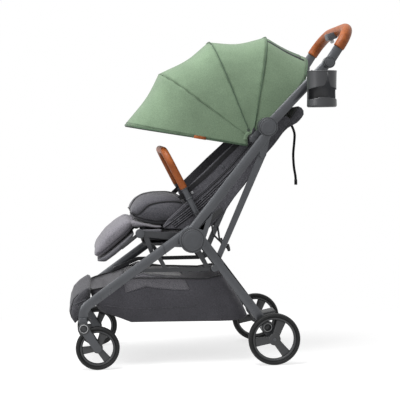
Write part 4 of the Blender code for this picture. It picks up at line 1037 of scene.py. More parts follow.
def cup_has(turn, z):
    """True where the cup has wall."""
    turn = (turn + math.pi) % (2 * math.pi) - math.pi
    slot = 0.07 + 0.14 * math.exp(-(((z - 0.866) / 0.010) ** 2))
    if z > LIP_LOW or z < WINDOW_LOW + 0.003 * math.cos(2 * turn):
        return True
    if not WINDOW_FROM <= turn <= WINDOW_TO:
        return True
    return z > lobe_edge(turn) and abs(turn - SLOT_TURN) > slot


points = []
for i in range(LEVELS + 1):
    z = CUP_LOW + (CUP_TOP - CUP_LOW) * i / LEVELS
    low_round = max(0.0, 1 - (z - CUP_LOW) / 0.006)
    sunk = 1 - math.sqrt(max(0.0, 1 - low_round**2))
    radius = CUP_R - 0.0050 * sunk - 0.0012 * math.sin(math.pi * i / LEVELS)
    for n in range(TURN_STEPS):
        turn = 2 * math.pi * n / TURN_STEPS
        points.append((CUP_AT[0] + radius * math.cos(turn), CUP_AT[1] + radius * math.sin(turn), z))
wall = []
for n, face in enumerate(quads(LEVELS + 1, TURN_STEPS, True)):
    i, k = divmod(n, TURN_STEPS)
    if cup_has(2 * math.pi * (k + 0.5) / TURN_STEPS, CUP_LOW + (CUP_TOP - CUP_LOW) * (i + 0.5) / LEVELS):
        wall.append(face)
wall.append(tuple(range(TURN_STEPS)))
cup = build("cup_wall", points, wall, cup_plastic, "handle")
relax = cup.modifiers.new("relax", "SMOOTH")
relax.iterations, relax.factor = 3, 0.4
thick = cup.modifiers.new("thick", "SOLIDIFY")
thick.thickness, thick.offset = 0.0026, -1.0
apply_modifiers(cup)
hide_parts("cup_holder")
print("cup wall", len(wall), "faces kept of", LEVELS * TURN_STEPS)

# %% [markdown]
# ## The cup holder's rim and arm
# The cup's rim is rolled outward. A short arm, grooved like a flexible joint, reaches from the cup to
# a clamp round the handle tube.
# %% The cup's rim and arm
HANDLE_TUBE_X, ARM_HIGH, RIM_R = 0.2035, 0.902, 0.0452
turns = [2 * math.pi * n / 72 for n in range(72)]
ring = [(CUP_AT[0] + RIM_R * math.cos(a), CUP_AT[1] + RIM_R * math.sin(a), CUP_TOP - 0.001) for a in turns]
sweep("cup_rim", ring, circle(0.0017, 8), cup_plastic, "handle", side=(0.0, 0.0, 1.0), loop=True)
handle_turn = math.degrees(math.atan2(TILT[1] - APEX[1], TILT[0] - APEX[0]))
clamp_at = toward(TILT, handle_turn, -0.064)
clamp = [
    (HANDLE_TUBE_X + u, *toward(clamp_at, handle_turn, 0.0, v)) for u, v in oval(0.0215, 0.0400, 0.6, 32)
]
sweep("cup_clamp", clamp, oval(0.0050, 0.0240, 0.5, 16), black_plastic, "handle", loop=True)
arm_knots = [
    (0.2150, *clamp_at),
    (0.2240, (clamp_at[0] + CUP_AT[1]) / 2, ARM_HIGH),
    (0.2360, CUP_AT[1], ARM_HIGH),
    (0.2395, CUP_AT[1], ARM_HIGH),
]
arm = curve(arm_knots, 5)
sweep("cup_arm", arm, oval(0.0200, 0.0200, 0.6, 20), black_plastic, "handle", side=(0.0, 1.0, 0.0))
rib_round, rib_step = oval(0.0216, 0.0216, 0.6, 20), Vector((0.0006, 0.0, 0.0))
for n in range(4):
    spot = Vector(arm[3 + 2 * n])
    rib = [spot - rib_step, spot, spot + rib_step]
    swell = [0.97, 1.0, 0.97]
    sweep(f"cup_arm_rib_{n}", rib, rib_round, cup_plastic, "handle", side=(0.0, 1.0, 0.0), swell=swell)
print("cup arm", len(arm), "points")

# %% [markdown]
# ## The canopy's shape
# Four bows fan out from one pivot on each side. Between two bows the cloth is pulled tight, so it
# dips below the straight line from bow to bow, and every cross-section is the same rounded arch.
# The whole canopy is one surface given by two numbers: the direction of the fan, and the place
# along the arch.
# %% The canopy's surface
REAR, TOP, MID, FRONT = 79.0, 111.0, 143.0, 173.0
CANOPY_END = (48.5, 0.322)
BOWS = ((REAR, 0.330, 0.013), (TOP, 0.331, 0.0245), (MID, 0.349, 0.0235), (FRONT, 0.395, 0.022))
CANOPY_HALF, CANOPY_ROOT, CLOTH_THICK, HEM_DROP = 0.1675, 0.014, 0.0016, 0.0225
ARCH, ARCH_SHAPE, MEAN_REACH = [], 0.58, 0.29
for n in range(2001):
    turn = math.pi * n / 2000
    c, si = math.cos(turn), math.sin(turn)
    ARCH.append((math.copysign(abs(c) ** ARCH_SHAPE, c), abs(si) ** ARCH_SHAPE))
metres = np.array([(CANOPY_HALF * u, MEAN_REACH * w) for u, w in ARCH])
run = np.concatenate([[0], np.cumsum(np.linalg.norm(np.diff(metres, axis=0), axis=1))])


def canopy_reach(direction):
    """How far the crown stands from the pivot in a direction of the fan, sag included."""
    stops = [(*CANOPY_END, 0.0), *BOWS]
    for (a, near, _), (b, far, sag) in zip(stops, stops[1:]):
        if direction <= b:
            t = (direction - a) / (b - a)
            return near + (far - near) * t - sag * math.sin(math.pi * t)
    return stops[-1][1]


REAR_EDGE = ((0.0, -6.5), (0.40, -5.7), (0.59, -4.0), (0.79, -1.6), (0.92, 2.4), (1.0, 4.8))


def canopy_point(direction, share, lift=0.0, drop=0.0):
    """A point of the canopy: a direction of the fan, a share along the arch, and a lift off it."""
    u = np.interp(share * run[-1], run, [a[0] for a in ARCH])
    w = np.interp(share * run[-1], run, [a[1] for a in ARCH])
    reach = canopy_reach(direction) + lift
    along = CANOPY_ROOT + (reach - CANOPY_ROOT) * w
    edge = max(0.0, (BOWS[0][0] - direction) / (BOWS[0][0] - CANOPY_END[0]))
    turn = direction + edge * np.interp(along / reach, [e[0] for e in REAR_EDGE], [e[1] for e in REAR_EDGE])
    y, z = toward(CANOPY_PIVOT, turn, along)
    return ((CANOPY_HALF + lift) * u, y, z - drop * max(0.0, 1 - along / 0.395) ** 0.9)


print("arch", round(run[-1], 3), "m along, reach", [round(canopy_reach(b[0]), 3) for b in BOWS])

# %% [markdown]
# ## The canopy's cloth
# The real canopy is cut as four panels, sewn to each other over the bows. Each panel here follows the bow
# behind it at one edge and the bow in front at the other. Short ripples fade away from the seams, where the
# thread gathers the cloth.
# %% Sew the panels
OVER_BOWS, PANEL_LONG = 0.0022, 2 * CANOPY_HALF + 0.58


def ripple(share, t, phase):
    """Small gathers near both seams of a panel, and slack waves between them."""
    near = math.exp(-t / 0.12) + math.exp(-(1 - t) / 0.12)
    gathers = 0.0007 * near * math.sin(2 * math.pi * share * 21 + phase)
    return gathers + 0.0006 * math.sin(2 * math.pi * share * 5 + 2 * phase + 3 * t)


def panel(
    name, start, end, phase, paint, low_share=0.0, high_share=1.0, lift=0.0, drop=0.0, columns=110, rows=16
):
    """A cloth panel of the canopy with its own thickness, between two directions of the fan."""
    points, area = [], 0.0
    for layer in (lift + OVER_BOWS, lift + OVER_BOWS - CLOTH_THICK):
        for i in range(rows + 1):
            t = i / rows
            for j in range(columns + 1):
                share = low_share + (high_share - low_share) * j / columns
                extra = ripple(share, t, phase) * math.sin(math.pi * min(max(share, 0.0), 1.0)) ** 0.3
                points.append(canopy_point(start + (end - start) * t, share, layer + extra, drop * t**3))
    wide, layer = columns + 1, (rows + 1) * (columns + 1)
    faces = quads(rows + 1, wide)
    faces += [tuple(layer + k for k in reversed(face)) for face in quads(rows + 1, wide)]
    edge = list(range(wide)) + [(i + 1) * wide - 1 for i in range(1, rows + 1)]
    edge += [rows * wide + j for j in reversed(range(columns))]
    edge += [i * wide for i in reversed(range(1, rows))]
    faces += [(a, b, layer + b, layer + a) for a, b in zip(edge, edge[1:] + edge[:1])]
    made = build(name, points, faces, paint, None)
    for face in made.data.polygons[: rows * columns]:
        area += face.area
    return made, area


stops = [CANOPY_END[0], REAR, TOP, MID, FRONT]
for n, name in enumerate(("canopy_rear", "canopy_top", "canopy_mid", "canopy_front")):
    drop = HEM_DROP if name == "canopy_front" else 0.0
    cloth_panel, area = panel(name, stops[n], stops[n + 1], 0.9 * n, canopy_cloth, drop=drop)
    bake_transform(cloth_panel)
    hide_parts("canopy")
    print(name, "area", round(area, 4))

# %% [markdown]
# ## The canopy's seams
# The two seams over the rear bows carry a fine piping, the third is flat, and the front and rear edges
# are bound with a folded strip. A small leather tab is sewn to the front edge near the pivot, and the
# cloth is gathered round the pivot on each side.
# %% Piping and binding
def over(direction, lift, first=0.0, last=1.0, drop=0.0, count=90):
    """A line over the canopy in one direction of the fan, lifted off the cloth."""
    shares = [first + (last - first) * n / count for n in range(count + 1)]
    return [canopy_point(direction, share, lift, drop) for share in shares]


rear_seam, top_seam = over(REAR, 0.0034, 0.012, 0.988), over(TOP, 0.0034, 0.012, 0.988)
mid_seam, front_hem = over(MID, 0.0026, 0.012, 0.988), over(FRONT, 0.0014, drop=HEM_DROP)
# A black strip just under the front hem is painted shadow: the dark line of shade under the hem's edge.
hem_shadow_line = over(FRONT + 0.5, -0.0002, 0.006, 0.994, HEM_DROP)
hem_line = over(FRONT - 1.4, 0.0030, 0.01, 0.99, HEM_DROP - 0.0003)
SEAMS = (
    ("piping_rear", rear_seam, circle(0.0017, 10), canopy_piping, "bow_rear"),
    ("piping_top", top_seam, circle(0.0017, 10), canopy_piping, "bow_top"),
    ("seam_mid", mid_seam, oval(0.0016, 0.0012, 0.5, 8), canopy_cloth, "bow_mid"),
    ("hem_front", front_hem, oval(0.0022, 0.0060, 0.6, 12), canopy_piping, "bow_front"),
    ("hem_under", hem_shadow_line, oval(0.0016, 0.0040, 0.6, 10), black_cloth, "bow_front"),
    ("hem_line", hem_line, circle(0.0006, 6), canopy_piping, "bow_front"),
    ("hem_rear", over(CANOPY_END[0], 0.0014), oval(0.0024, 0.0070, 0.6, 12), canopy_piping, "handle"),
)
for name, line, section, paint, body in SEAMS:
    sweep(f"canopy_{name}", line, section, paint, body)
tab = [canopy_point(FRONT, share, 0.0036, HEM_DROP) for share in (0.126, 0.138, 0.150, 0.162)]
sweep("canopy_tab", tab, oval(0.0016, 0.0095, 0.4, 12), tan_leather, "bow_front")
for side, s in SIDES:
    gather = [(s * 0.1699, *toward(CANOPY_PIVOT, a, 0.0205)) for a in range(46, 191, 8)]
    sweep(f"canopy_gather_{side}", gather, oval(0.0030, 0.0110, 0.6, 12), canopy_cloth, "handle")
print("seams of the canopy", len(SEAMS))

# %% [markdown]
# ## The canopy's vent
# A darker flap lies over the rear panel between two bound edges. It is cut on the same surface as the panel
# under it.
# %% The vent
VENT_LOW, VENT_HIGH, VENT_WIDE = 0.372, 0.628, 0.17
vent, vent_area = panel(
    "canopy_vent", 53.0, 77.0, 0.0, canopy_piping, VENT_LOW, VENT_HIGH, 0.0006, columns=40, rows=12
)
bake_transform(vent)
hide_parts("canopy")
for n, share in enumerate((VENT_LOW - 0.002, VENT_HIGH + 0.002)):
    line = [canopy_point(51.0 + 27.5 * k / 20, share, 0.0032) for k in range(21)]
    edge = sweep(f"canopy_vent_edge_{n}", line, oval(0.0024, 0.0052, 0.6, 10), dark_cloth, None)
    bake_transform(edge)
print("vent area", round(vent_area, 4))

# %% [markdown]
# ## The seat
# The seat is a crowned cushion raised above a thin pad, with a paler flap along its lower edge. The
# cushion is swelled with the cloth solver, and its seams are pressed in afterwards, since a remesh
# would remove them.
# %% The seat cushion
seat_cushion = cushion(
    "seat_cushion",
    [(-0.171, 0.413), (-0.165, 0.4212), (-0.05, 0.4212), (-0.044, 0.413)],
    [(-0.171, 0.398), (-0.165, 0.3893), (-0.05, 0.3893), (-0.044, 0.398)],
    0.134, seat_cloth, "chassis", rows=14,
)
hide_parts("seat_pad")
crown_high = [(-0.2170, 0.484), (-0.211, 0.497), (-0.195, 0.5155), (-0.170, 0.5295)]
crown_high += [(-0.138, 0.5365), (-0.09, 0.5385), (-0.06, 0.536), (-0.026, 0.521)]
crown_low = [(-0.2170, 0.477), (-0.203, 0.4625), (-0.168, 0.4495), (-0.132, 0.4425)]
crown_low += [(-0.09, 0.4415), (-0.06, 0.4415), (-0.03, 0.4415), (-0.026, 0.4420)]
crowned = cushion(
    "seat_crown", crown_high, crown_low, 0.133, seat_cloth, "chassis", side=0.32, crown=0.62, taper=0.07
)
finer(stuff(crowned, 0.003))
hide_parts("front_bolster")
flap_top = [(-0.212, 0.4700), (-0.1998, 0.4590), (-0.1683, 0.4485), (-0.1322, 0.4405), (-0.110, 0.4400)]
flap_low = [(-0.2142, 0.4340), (-0.2005, 0.4355), (-0.1687, 0.4380), (-0.1461, 0.4345), (-0.120, 0.4300)]
flap = cushion("seat_flap", flap_top, flap_low, 0.134, pale_cloth, "chassis", rows=16, side=0.2, crown=0.6)
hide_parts("front_bolster")
print("seat crown", len(crowned.data.vertices), "points")

# %% [markdown]
# ## The seat's piping
# A piping runs along the seam on each side and across the nose, another follows the crown, and a
# thinner one closes the lower seam. Each lies in a channel pressed into the cushion.
# %% Piping and sleeves
def piping(name, thing, path, radius, paint, body, sunk=0.0004, steps=5):
    """A round piping laid on a piece along a smooth line, in a pressed channel."""
    line = laid_on(thing, curve(path, steps), -sunk)
    press(thing, line, radius * 0.9, radius * 2.2)
    return sweep(name, line, circle(radius, 10), paint, body)


side_seam = [(-0.0447, 0.5161), (-0.0856, 0.5178), (-0.1219, 0.5154), (-0.1538, 0.5069)]
side_seam += [(-0.1712, 0.4934), (-0.1834, 0.4815), (-0.1961, 0.4748), (-0.2095, 0.4785)]
left_seam = [(0.131, y, z) for y, z in side_seam]
left_nose = [(0.121, -0.2165, 0.4815), (0.07, -0.2185, 0.4830)]
nose = left_nose + [(0.0, -0.2187, 0.4833)] + mirrored(left_nose)[::-1]
piping("seat_piping", crowned, left_seam + nose + mirrored(left_seam)[::-1], 0.0024, black_cloth, "chassis")
crown_line = [(-0.02, -0.2175, 0.4850), (-0.02, -0.2125, 0.499), (-0.02, -0.195, 0.518)]
crown_line += [(-0.02, -0.170, 0.531), (-0.02, -0.138, 0.538), (-0.02, -0.09, 0.540)]
crown_line += [(-0.02, -0.06, 0.537), (-0.02, -0.032, 0.525)]
piping("seat_crown_piping", crowned, crown_line, 0.0027, black_cloth, "chassis", 0.0012)
low_seam = [(-0.212, 0.4715), (-0.1998, 0.4615), (-0.1683, 0.4505), (-0.1322, 0.4435)]
low_seam += [(-0.0913, 0.4434), (-0.05, 0.4434)]
for side, s in SIDES:
    low_line = [(s * 0.131, y, z) for y, z in low_seam]
    piping(f"seat_low_piping_{side}", crowned, low_line, 0.0017, black_cloth, "chassis")
sleeve_line = curve([(-0.180, 0.4225), (-0.150, 0.4225), (-0.118, 0.4230)], 5)
SLEEVE_FOLDS = [0.92, 1.02, 0.97, 1.03, 0.98, 1.02, 0.97, 1.03, 0.98, 1.0, 0.9]
sleeve_round = oval(0.0150, 0.0170, 0.8, 16)
for side, s in SIDES:
    sleeve = [(s * 0.150, y, z) for y, z in sleeve_line]
    sweep(f"seat_sleeve_{side}", sleeve, sleeve_round, seat_cloth, "chassis", swell=SLEEVE_FOLDS)

# %% [markdown]
# ## The backrest
# A long pad, swelled like the seat, with sewn channels across it. Its sizes are written along the
# backrest's own slope.
# %% The backrest
BACK_BASE, BACK_SLOPE = (0.070, 0.463), 53.1


def on_back(along, across):
    """A point in the side view, along the backrest's slope and out from it."""
    return toward(BACK_BASE, BACK_SLOPE, along, across)


PAD_STOPS = (0.038, 0.05, 0.12, 0.2, 0.28, 0.36, 0.41, 0.420)
pad_front, pad_rear = ([on_back(along, across) for along in PAD_STOPS] for across in (0.0375, 0.0148))
back_pad = cushion(
    "back_pad", pad_front, pad_rear, 0.128, seat_cloth, "backrest", rows=40, side=0.3, crown=0.5, taper=0.03
)
finer(stuff(back_pad, 0.003))
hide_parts("backrest_pad")
for n, along in enumerate((0.10, 0.165, 0.23, 0.295, 0.36)):
    row = [(0.116 - 0.232 * k / 24, *on_back(along, 0.0405)) for k in range(25)]
    line = laid_on(back_pad, row, 0.0)
    press(back_pad, line, 0.0030, 0.0065)
    stitches(f"back_stitches_{n}", laid_on(back_pad, row, 0.0001), grey_thread, "backrest")
print("back pad", len(back_pad.data.vertices), "points")

# %% [markdown]
# ## The backrest's shell
# A cloth shell closes the backrest from behind. It bulges where the recline strap pulls on it and
# falls in slack waves, which fade out toward the seat.
# %% The shell
shell_back = [(0.050, 0.433), (0.070, 0.463), (0.138, 0.5535), (0.206, 0.644), (0.2755, 0.729)]
shell_back += [(0.291, 0.744), (0.323, 0.763), (0.342, 0.786), (0.343, 0.803), (0.331, 0.817)]
shell_front = [on_back(a, 0.005) for a in (-0.030, 0.0, 0.08, 0.16, 0.24, 0.32, 0.38, 0.42)]
finish = {"rows": 44, "columns": 44, "ends": 14.0, "side": 0.16, "crown": 0.16, "taper": 0.02}
back_shell = cushion("back_shell", shell_front, shell_back, 0.144, dark_cloth, "backrest", **finish)
mesh = back_shell.data
for vertex in mesh.vertices:
    spot = vertex.co - shift
    along = (spot.y - BACK_BASE[0]) * 0.6 + (spot.z - BACK_BASE[1]) * 0.8
    wave = math.sin(along * 46 + spot.x * 7) * 0.0016 + math.sin(along * 21 - spot.x * 11 + 1.0) * 0.0014
    vertex.co += vertex.normal * wave * min(1.0, max(0.0, (spot.z - 0.44) / 0.05))
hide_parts("seat_shell")
print("back shell", len(back_shell.data.vertices), "points")

# %% [markdown]
# ## The side wings
# Each wing is a thin quilted flap from the backrest down to the seat. It is cut flat in the side view
# and its edges are rounded.
# %% The wings
WING_IN, WING_OUT = 0.1385, 0.1441
wing_edge = [on_back(0.030, 0.001), on_back(0.385, 0.001), on_back(0.385, 0.022), (0.150, 0.728)]
wing_edge += [(0.060, 0.648), (-0.024, 0.569), (-0.045, 0.540), (-0.034, 0.517)]
wing_edge += [(-0.0957, 0.4620), (-0.113, 0.4400), (-0.108, 0.4320), (0.030, 0.426)]
count = len(wing_edge)
for side, s in SIDES:
    points = [(s * x, y, z) for x in (WING_IN, WING_OUT) for y, z in wing_edge]
    faces = [tuple(range(count)), tuple(count + k for k in reversed(range(count)))]
    faces += [(k, (k + 1) % count, count + (k + 1) % count, count + k) for k in range(count)]
    wing = build(f"wing_{side}", points, faces, seat_cloth, "backrest")
    rounder = wing.modifiers.new("round_off", "BEVEL")
    rounder.width, rounder.segments, rounder.harden_normals = 0.0022, 3, True
    apply_modifiers(wing)
    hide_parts("seat_shell")
print("wings", count, "corners each")

# %% [markdown]
# ## The wings' cords
# Cord is sewn into each wing in parallel rows, four along its lower edge and two above them. Black strips
# laid beside the lower cords are painted shade, the dark of the grooves between the rows.
# %% Cords and grooves
lower_ridge = [(-0.1102, 0.4356), (-0.0873, 0.4519), (-0.0414, 0.485), (-0.0001, 0.5159)]
lower_ridge += [(0.0506, 0.5604), (0.0967, 0.6027), (0.1382, 0.6451), (0.182, 0.690)]
upper_ridge = [(-0.0917, 0.4588), (-0.0596, 0.4853), (-0.0228, 0.5164), (-0.0044, 0.5319)]
upper_ridge += [(0.045, 0.575), (0.093, 0.620), (0.135, 0.665), (0.165, 0.700)]
CORD, GROOVE_SHADE = oval(0.0044, 0.0034, 0.8, 10), oval(0.0014, 0.0022, 0.8, 8)
for side, s in SIDES:
    for n in range(4):
        step = [(y + 0.0042 * n, z - 0.0052 * n) for y, z in lower_ridge[1:]] if n else lower_ridge
        line = [(s * (WING_OUT + 0.0001), y, z) for y, z in curve(step, 5)]
        sweep(f"wing_ridge_{side}_{n}", line, CORD, seat_cloth, "backrest")
        # A black strip beside each cord: painted shade in the groove between rows.
        under = [(s * (WING_OUT + 0.0003), y + 0.0021, z - 0.0026) for _, y, z in line]
        sweep(f"wing_groove_{side}_{n}", under, GROOVE_SHADE, black_cloth, "backrest")
    for n, paint in enumerate((seat_cloth, black_cloth)):
        step = [(y + 0.004 * n, z - 0.005 * n) for y, z in upper_ridge]
        line = [(s * (WING_OUT + 0.0001), y, z) for y, z in curve(step, 5)]
        sweep(f"wing_upper_{side}_{n}", line, oval(0.0030, 0.0026, 0.8, 10), paint, "backrest")
print("cords from", lower_ridge[0], "to", lower_ridge[-1])

# %% [markdown]
# ## The wings' bands and studs
# A black band closes the upper edge of each wing, and press studs hold the layers together.
# %% Bands and studs
top_band = [(-0.0600, 0.5265), (-0.0222, 0.5594), (0.0283, 0.6016)]
top_band += [(0.0744, 0.6461), (0.1181, 0.6861), (0.150, 0.7165)]
STUD = [(TIP, 0.0016), (0.0020, 0.0014), (0.0026, 0.0006), (0.0034, 0.0010), (0.0044, 0.0012)]
STUD += [(0.0050, 0.0), (TIP, 0.0)]
STUDS = ((-0.0183, 0.5447), (0.0132, 0.5228), (-0.0626, 0.4586), (0.0804, 0.6258))
for side, s in SIDES:
    line = [(s * (WING_OUT + 0.0005), y, z) for y, z in curve(top_band, 5)]
    sweep(f"wing_band_{side}", line, oval(0.0022, 0.0150, 0.35, 14), black_cloth, "backrest")
    for n, at in enumerate(STUDS):
        x, paint = s * (WING_OUT + 0.0007), grey_plastic if n else steel
        lathe(f"stud_{side}_{n}", x, at, outward(STUD, s), paint, "backrest", 28, False)
print("studs", 2 * len(STUDS))

# %% [markdown]
# ## The leg rest
# A soft pad over a board, paler than the seat because it catches the light, with a darker pocket
# under it. A dark piping closes the pad along each side.
# %% The leg rest
rest_top = [(-0.2010, 0.4640), (-0.2221, 0.4680), (-0.2587, 0.4445)]
rest_top += [(-0.2907, 0.4180), (-0.323, 0.3780), (-0.3340, 0.3540)]
rest_low = [(-0.2030, 0.4330), (-0.2180, 0.4180), (-0.2480, 0.3930)]
rest_low += [(-0.2870, 0.3600), (-0.3180, 0.3390), (-0.3310, 0.3430)]
leg_pad = cushion(
    "leg_pad", rest_top, rest_low, 0.132, pale_cloth, "leg_rest", side=0.34, crown=0.55, taper=0.1
)
finer(stuff(leg_pad, 0.003))
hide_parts("leg_rest_pad")
rest_seam = [(-0.2035, 0.4260), (-0.2254, 0.4120), (-0.2554, 0.3910), (-0.2919, 0.3640), (-0.3193, 0.3460)]
for side, s in SIDES:
    line = [(s * 0.132, y, z) for y, z in rest_seam]
    piping(f"leg_pad_piping_{side}", leg_pad, line, 0.0015, dark_cloth, "leg_rest")
pocket_top = [(-0.2020, 0.4270), (-0.2200, 0.4100), (-0.2554, 0.3800), (-0.2919, 0.3520), (-0.3230, 0.3370)]
pocket_low = [(-0.2050, 0.4040), (-0.2300, 0.3760), (-0.2620, 0.3500), (-0.2950, 0.3265), (-0.3170, 0.3260)]
under = cushion(
    "leg_pocket", pocket_top, pocket_low, 0.134, seat_cloth, "leg_rest", side=0.26, crown=0.5, taper=0.1
)
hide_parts("leg_rest_board")
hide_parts("leg_rest_pad")
print("leg rest", len(leg_pad.data.vertices), "points")

# %% [markdown]
# ## The leg rest's arms
# A flat arm on each side carries the board and turns on a disc on the seat's side frame. A short
# brace joins the arm to the board.
# %% Arms and discs
REST_PIVOT, REST_ARM_X = (-0.1861, 0.4201), 0.1500
for side, s in SIDES:
    at = [(s * REST_ARM_X, *p) for p in (REST_PIVOT, (-0.205, 0.405), (-0.225, 0.389), (-0.245, 0.374))]
    sweep(f"leg_rest_arm_{side}", at, oval(0.0050, 0.0110, 0.5, 14), black_plastic, "leg_rest")
    brace = [(s * REST_ARM_X, -0.245, 0.374), (s * 0.136, -0.2465, 0.3728), (s * 0.128, -0.248, 0.3716)]
    brace_round = oval(0.0100, 0.0050, 0.5, 12)
    sweep(f"leg_rest_brace_{side}", brace, brace_round, black_plastic, "leg_rest", side=(0.0, 1.0, 0.0))
    disc = f"leg_rest_disc_{side}"
    cap(disc, s * 0.1692, s, REST_PIVOT, 0.0138, 0.0026, grey_plastic, "chassis", 0.72)
print("leg rest turns at", REST_PIVOT)

# %% [markdown]
# ## The basket
# A cloth tub hung from the legs and the rear crossbar, grey outside. Its inner face is painted pale, painted
# light that stands for light coming through its mesh walls. Its walls belly out a little and fold near the
# corners. Near the top of each side it has an opening for a mesh, so the faces there are left out.
# %% The basket's tub
RIM = [(-0.348, 0.242), (-0.262, 0.262), (-0.182, 0.2945), (-0.1463, 0.2865)]
RIM += [(-0.0991, 0.2790), (-0.0411, 0.2750), (0.0223, 0.2725), (0.078, 0.2835)]
FLOOR = [(-0.330, 0.178), (-0.255, 0.152), (-0.222, 0.139), (0.105, 0.1345), (0.168, 0.141)]
FLOOR_MIDDLE = stations(FLOOR, 0.5)[0]
BASKET_HALF = 0.1655


def tub_point(turn, depth, inset=0.0):
    """A point of the tub: a turn round it, and a depth of 0 at the rim, 1 where wall and floor meet
    and 2 at the floor's middle."""
    c, si = math.cos(turn), math.sin(turn)
    u, v = math.copysign(abs(c) ** 0.26, c), math.copysign(abs(si) ** 0.26, si)
    wall, inward = min(depth, 1.0), max(depth - 1.0, 0.0)
    rim, foot = stations(RIM, (v + 1) / 2), stations(FLOOR, (v * (1 - inward) + 1) / 2)
    y, z = rim + (foot - rim) * wall**1.05
    wide = BASKET_HALF - inset - 0.010 * wall**5
    belly = 0.0018 * math.sin(math.pi * wall) * math.sin(9 * turn + 2.2 * wall)
    crease = 0.0012 * math.sin(23 * turn + 5 * wall) * wall
    y += (FLOOR_MIDDLE - y) * 0.035 * wall**5 * (1 - inward)
    x = (wide + (belly + crease)) * u * (1 - inward)
    return (x, y, z + inset * 0.5 - 0.0018 * math.sin(math.pi * inward / 2))


TURNS, MESH_FROM, MESH_TO, MESH_HEM, MESH_ROWS = 150, -0.248, -0.040, 0.008, (1, 2, 3)
FLOOR_DEPTHS = (1.06, 1.18, 1.4, 1.7, 1.96)
DEPTHS = (0.0, 0.04, 0.1, 0.18, 0.27, 0.36, 0.45, 0.55, 0.65, 0.75, 0.84, 0.92, 0.97, 1.0, *FLOOR_DEPTHS)
fine_turns = np.linspace(0.0, 2 * math.pi, 8001)
outline = np.array([tub_point(turn, 0.0) for turn in fine_turns])
walked = np.concatenate([[0], np.cumsum(np.linalg.norm(np.diff(outline, axis=0), axis=1))])
tub_turns = [float(np.interp(walked[-1] * (n + 0.5) / TURNS, walked, fine_turns)) for n in range(TURNS)]
points = [tub_point(turn, depth) for depth in DEPTHS for turn in tub_turns]
open_here = [MESH_FROM + MESH_HEM < points[n][1] < MESH_TO - MESH_HEM for n in range(TURNS)]
faces = []
for n, face in enumerate(quads(len(DEPTHS), TURNS, True)):
    row, column = divmod(n, TURNS)
    if row not in MESH_ROWS or not (open_here[column] and open_here[(column + 1) % TURNS]):
        faces.append(face)
faces.append(tuple((len(DEPTHS) - 1) * TURNS + k for k in range(TURNS)))
basket = build("basket_tub", points, faces, basket_cloth, "chassis")
# The inside takes the pale material, painted light for the light through the mesh walls.
basket.data.materials.append(lining_cloth)
thick = basket.modifiers.new("thick", "SOLIDIFY")
thick.thickness, thick.offset, thick.material_offset = 0.0016, 0.0, 1
apply_modifiers(basket)
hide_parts("basket")
print("basket tub", len(basket.data.vertices), "points")

# %% [markdown]
# ## The basket's mesh and base
# A strip of see-through mesh covers the opening in each side, sewn on from outside. A stiff dark base lies on
# the floor inside, so that a load doesn't sag through; its black is also painted shade, which darkens the
# tub's floor so that the inside reads as deep.
# %% Mesh and base
def skinned(thing, thickness):
    """Gives a piece one layer's thickness, half to each side."""
    skin = thing.modifiers.new("skin", "SOLIDIFY")
    skin.thickness, skin.offset = thickness, 0.0
    apply_modifiers(thing)
    return thing


for side, s in SIDES:
    spans = [turn for turn in tub_turns if MESH_FROM < tub_point(turn, 0.0)[1] < MESH_TO]
    spans = [turn for turn in spans if math.cos(turn) * s > 0]
    spans.sort(key=lambda turn: tub_point(turn, 0.0)[1])
    rows = [tub_point(turn, 0.025 + 0.265 * k / 8) for k in range(9) for turn in spans]
    rows = [(x + s * 0.0012, y, z) for x, y, z in rows]
    band = build(f"basket_mesh_{side}", rows, quads(9, len(spans)), mesh_cloth, "chassis")
    skinned(band, 0.0007)
# The base's black is both the real stiffener's colour and painted shade on the tub's floor.
base_depths = (0.97, *FLOOR_DEPTHS)
base_points = [tub_point(turn, depth, 0.004) for depth in base_depths for turn in tub_turns]
base_points = [(x, y, z + 0.0012) for x, y, z in base_points]
base_faces = quads(len(base_depths), TURNS, True)
base_faces.append(tuple((len(base_depths) - 1) * TURNS + k for k in range(TURNS)))
base = skinned(build("basket_base", base_points, base_faces, black_cloth, "chassis"), 0.0016)

# %% [markdown]
# ## The basket's rim and seams
# The rim is bound in black. A seam runs round the lower wall, and a row of stitches holds the mesh
# along its lower edge.
# %% Rim and seams
rim_line = [tub_point(2 * math.pi * (n + 0.5) / TURNS, 0.0) for n in range(TURNS)]
rim_round = oval(0.0036, 0.0085, 0.5, 12)
sweep("basket_rim", rim_line, rim_round, black_cloth, "chassis", side=(0.0, 0.0, 1.0), loop=True)
seam = [(-0.3051, 0.1930), (-0.2685, 0.1885), (-0.169, 0.1815), (-0.1058, 0.184)]
seam += [(-0.0265, 0.1865), (-0.0051, 0.1996)]
band_low = [(-0.2300, 0.2490), (-0.2000, 0.2475), (-0.1469, 0.2459)]
band_low += [(-0.1100, 0.2440), (-0.0750, 0.2420), (-0.0520, 0.2405)]
for side, s in SIDES:
    seam_line_here = laid_on(basket, [(s * 0.168, y, z) for y, z in curve(seam, 5)], 0.0004)
    sweep(f"basket_seam_{side}", seam_line_here, circle(0.0011, 8), dark_cloth, "chassis")
    sewn = laid_on(basket, [(s * 0.168, y, z) for y, z in curve(band_low, 5)], 0.0006)
    stitches(f"basket_band_stitches_{side}", sewn, grey_thread, "chassis")
print("basket seams", len(seam), "and", len(band_low), "knots")

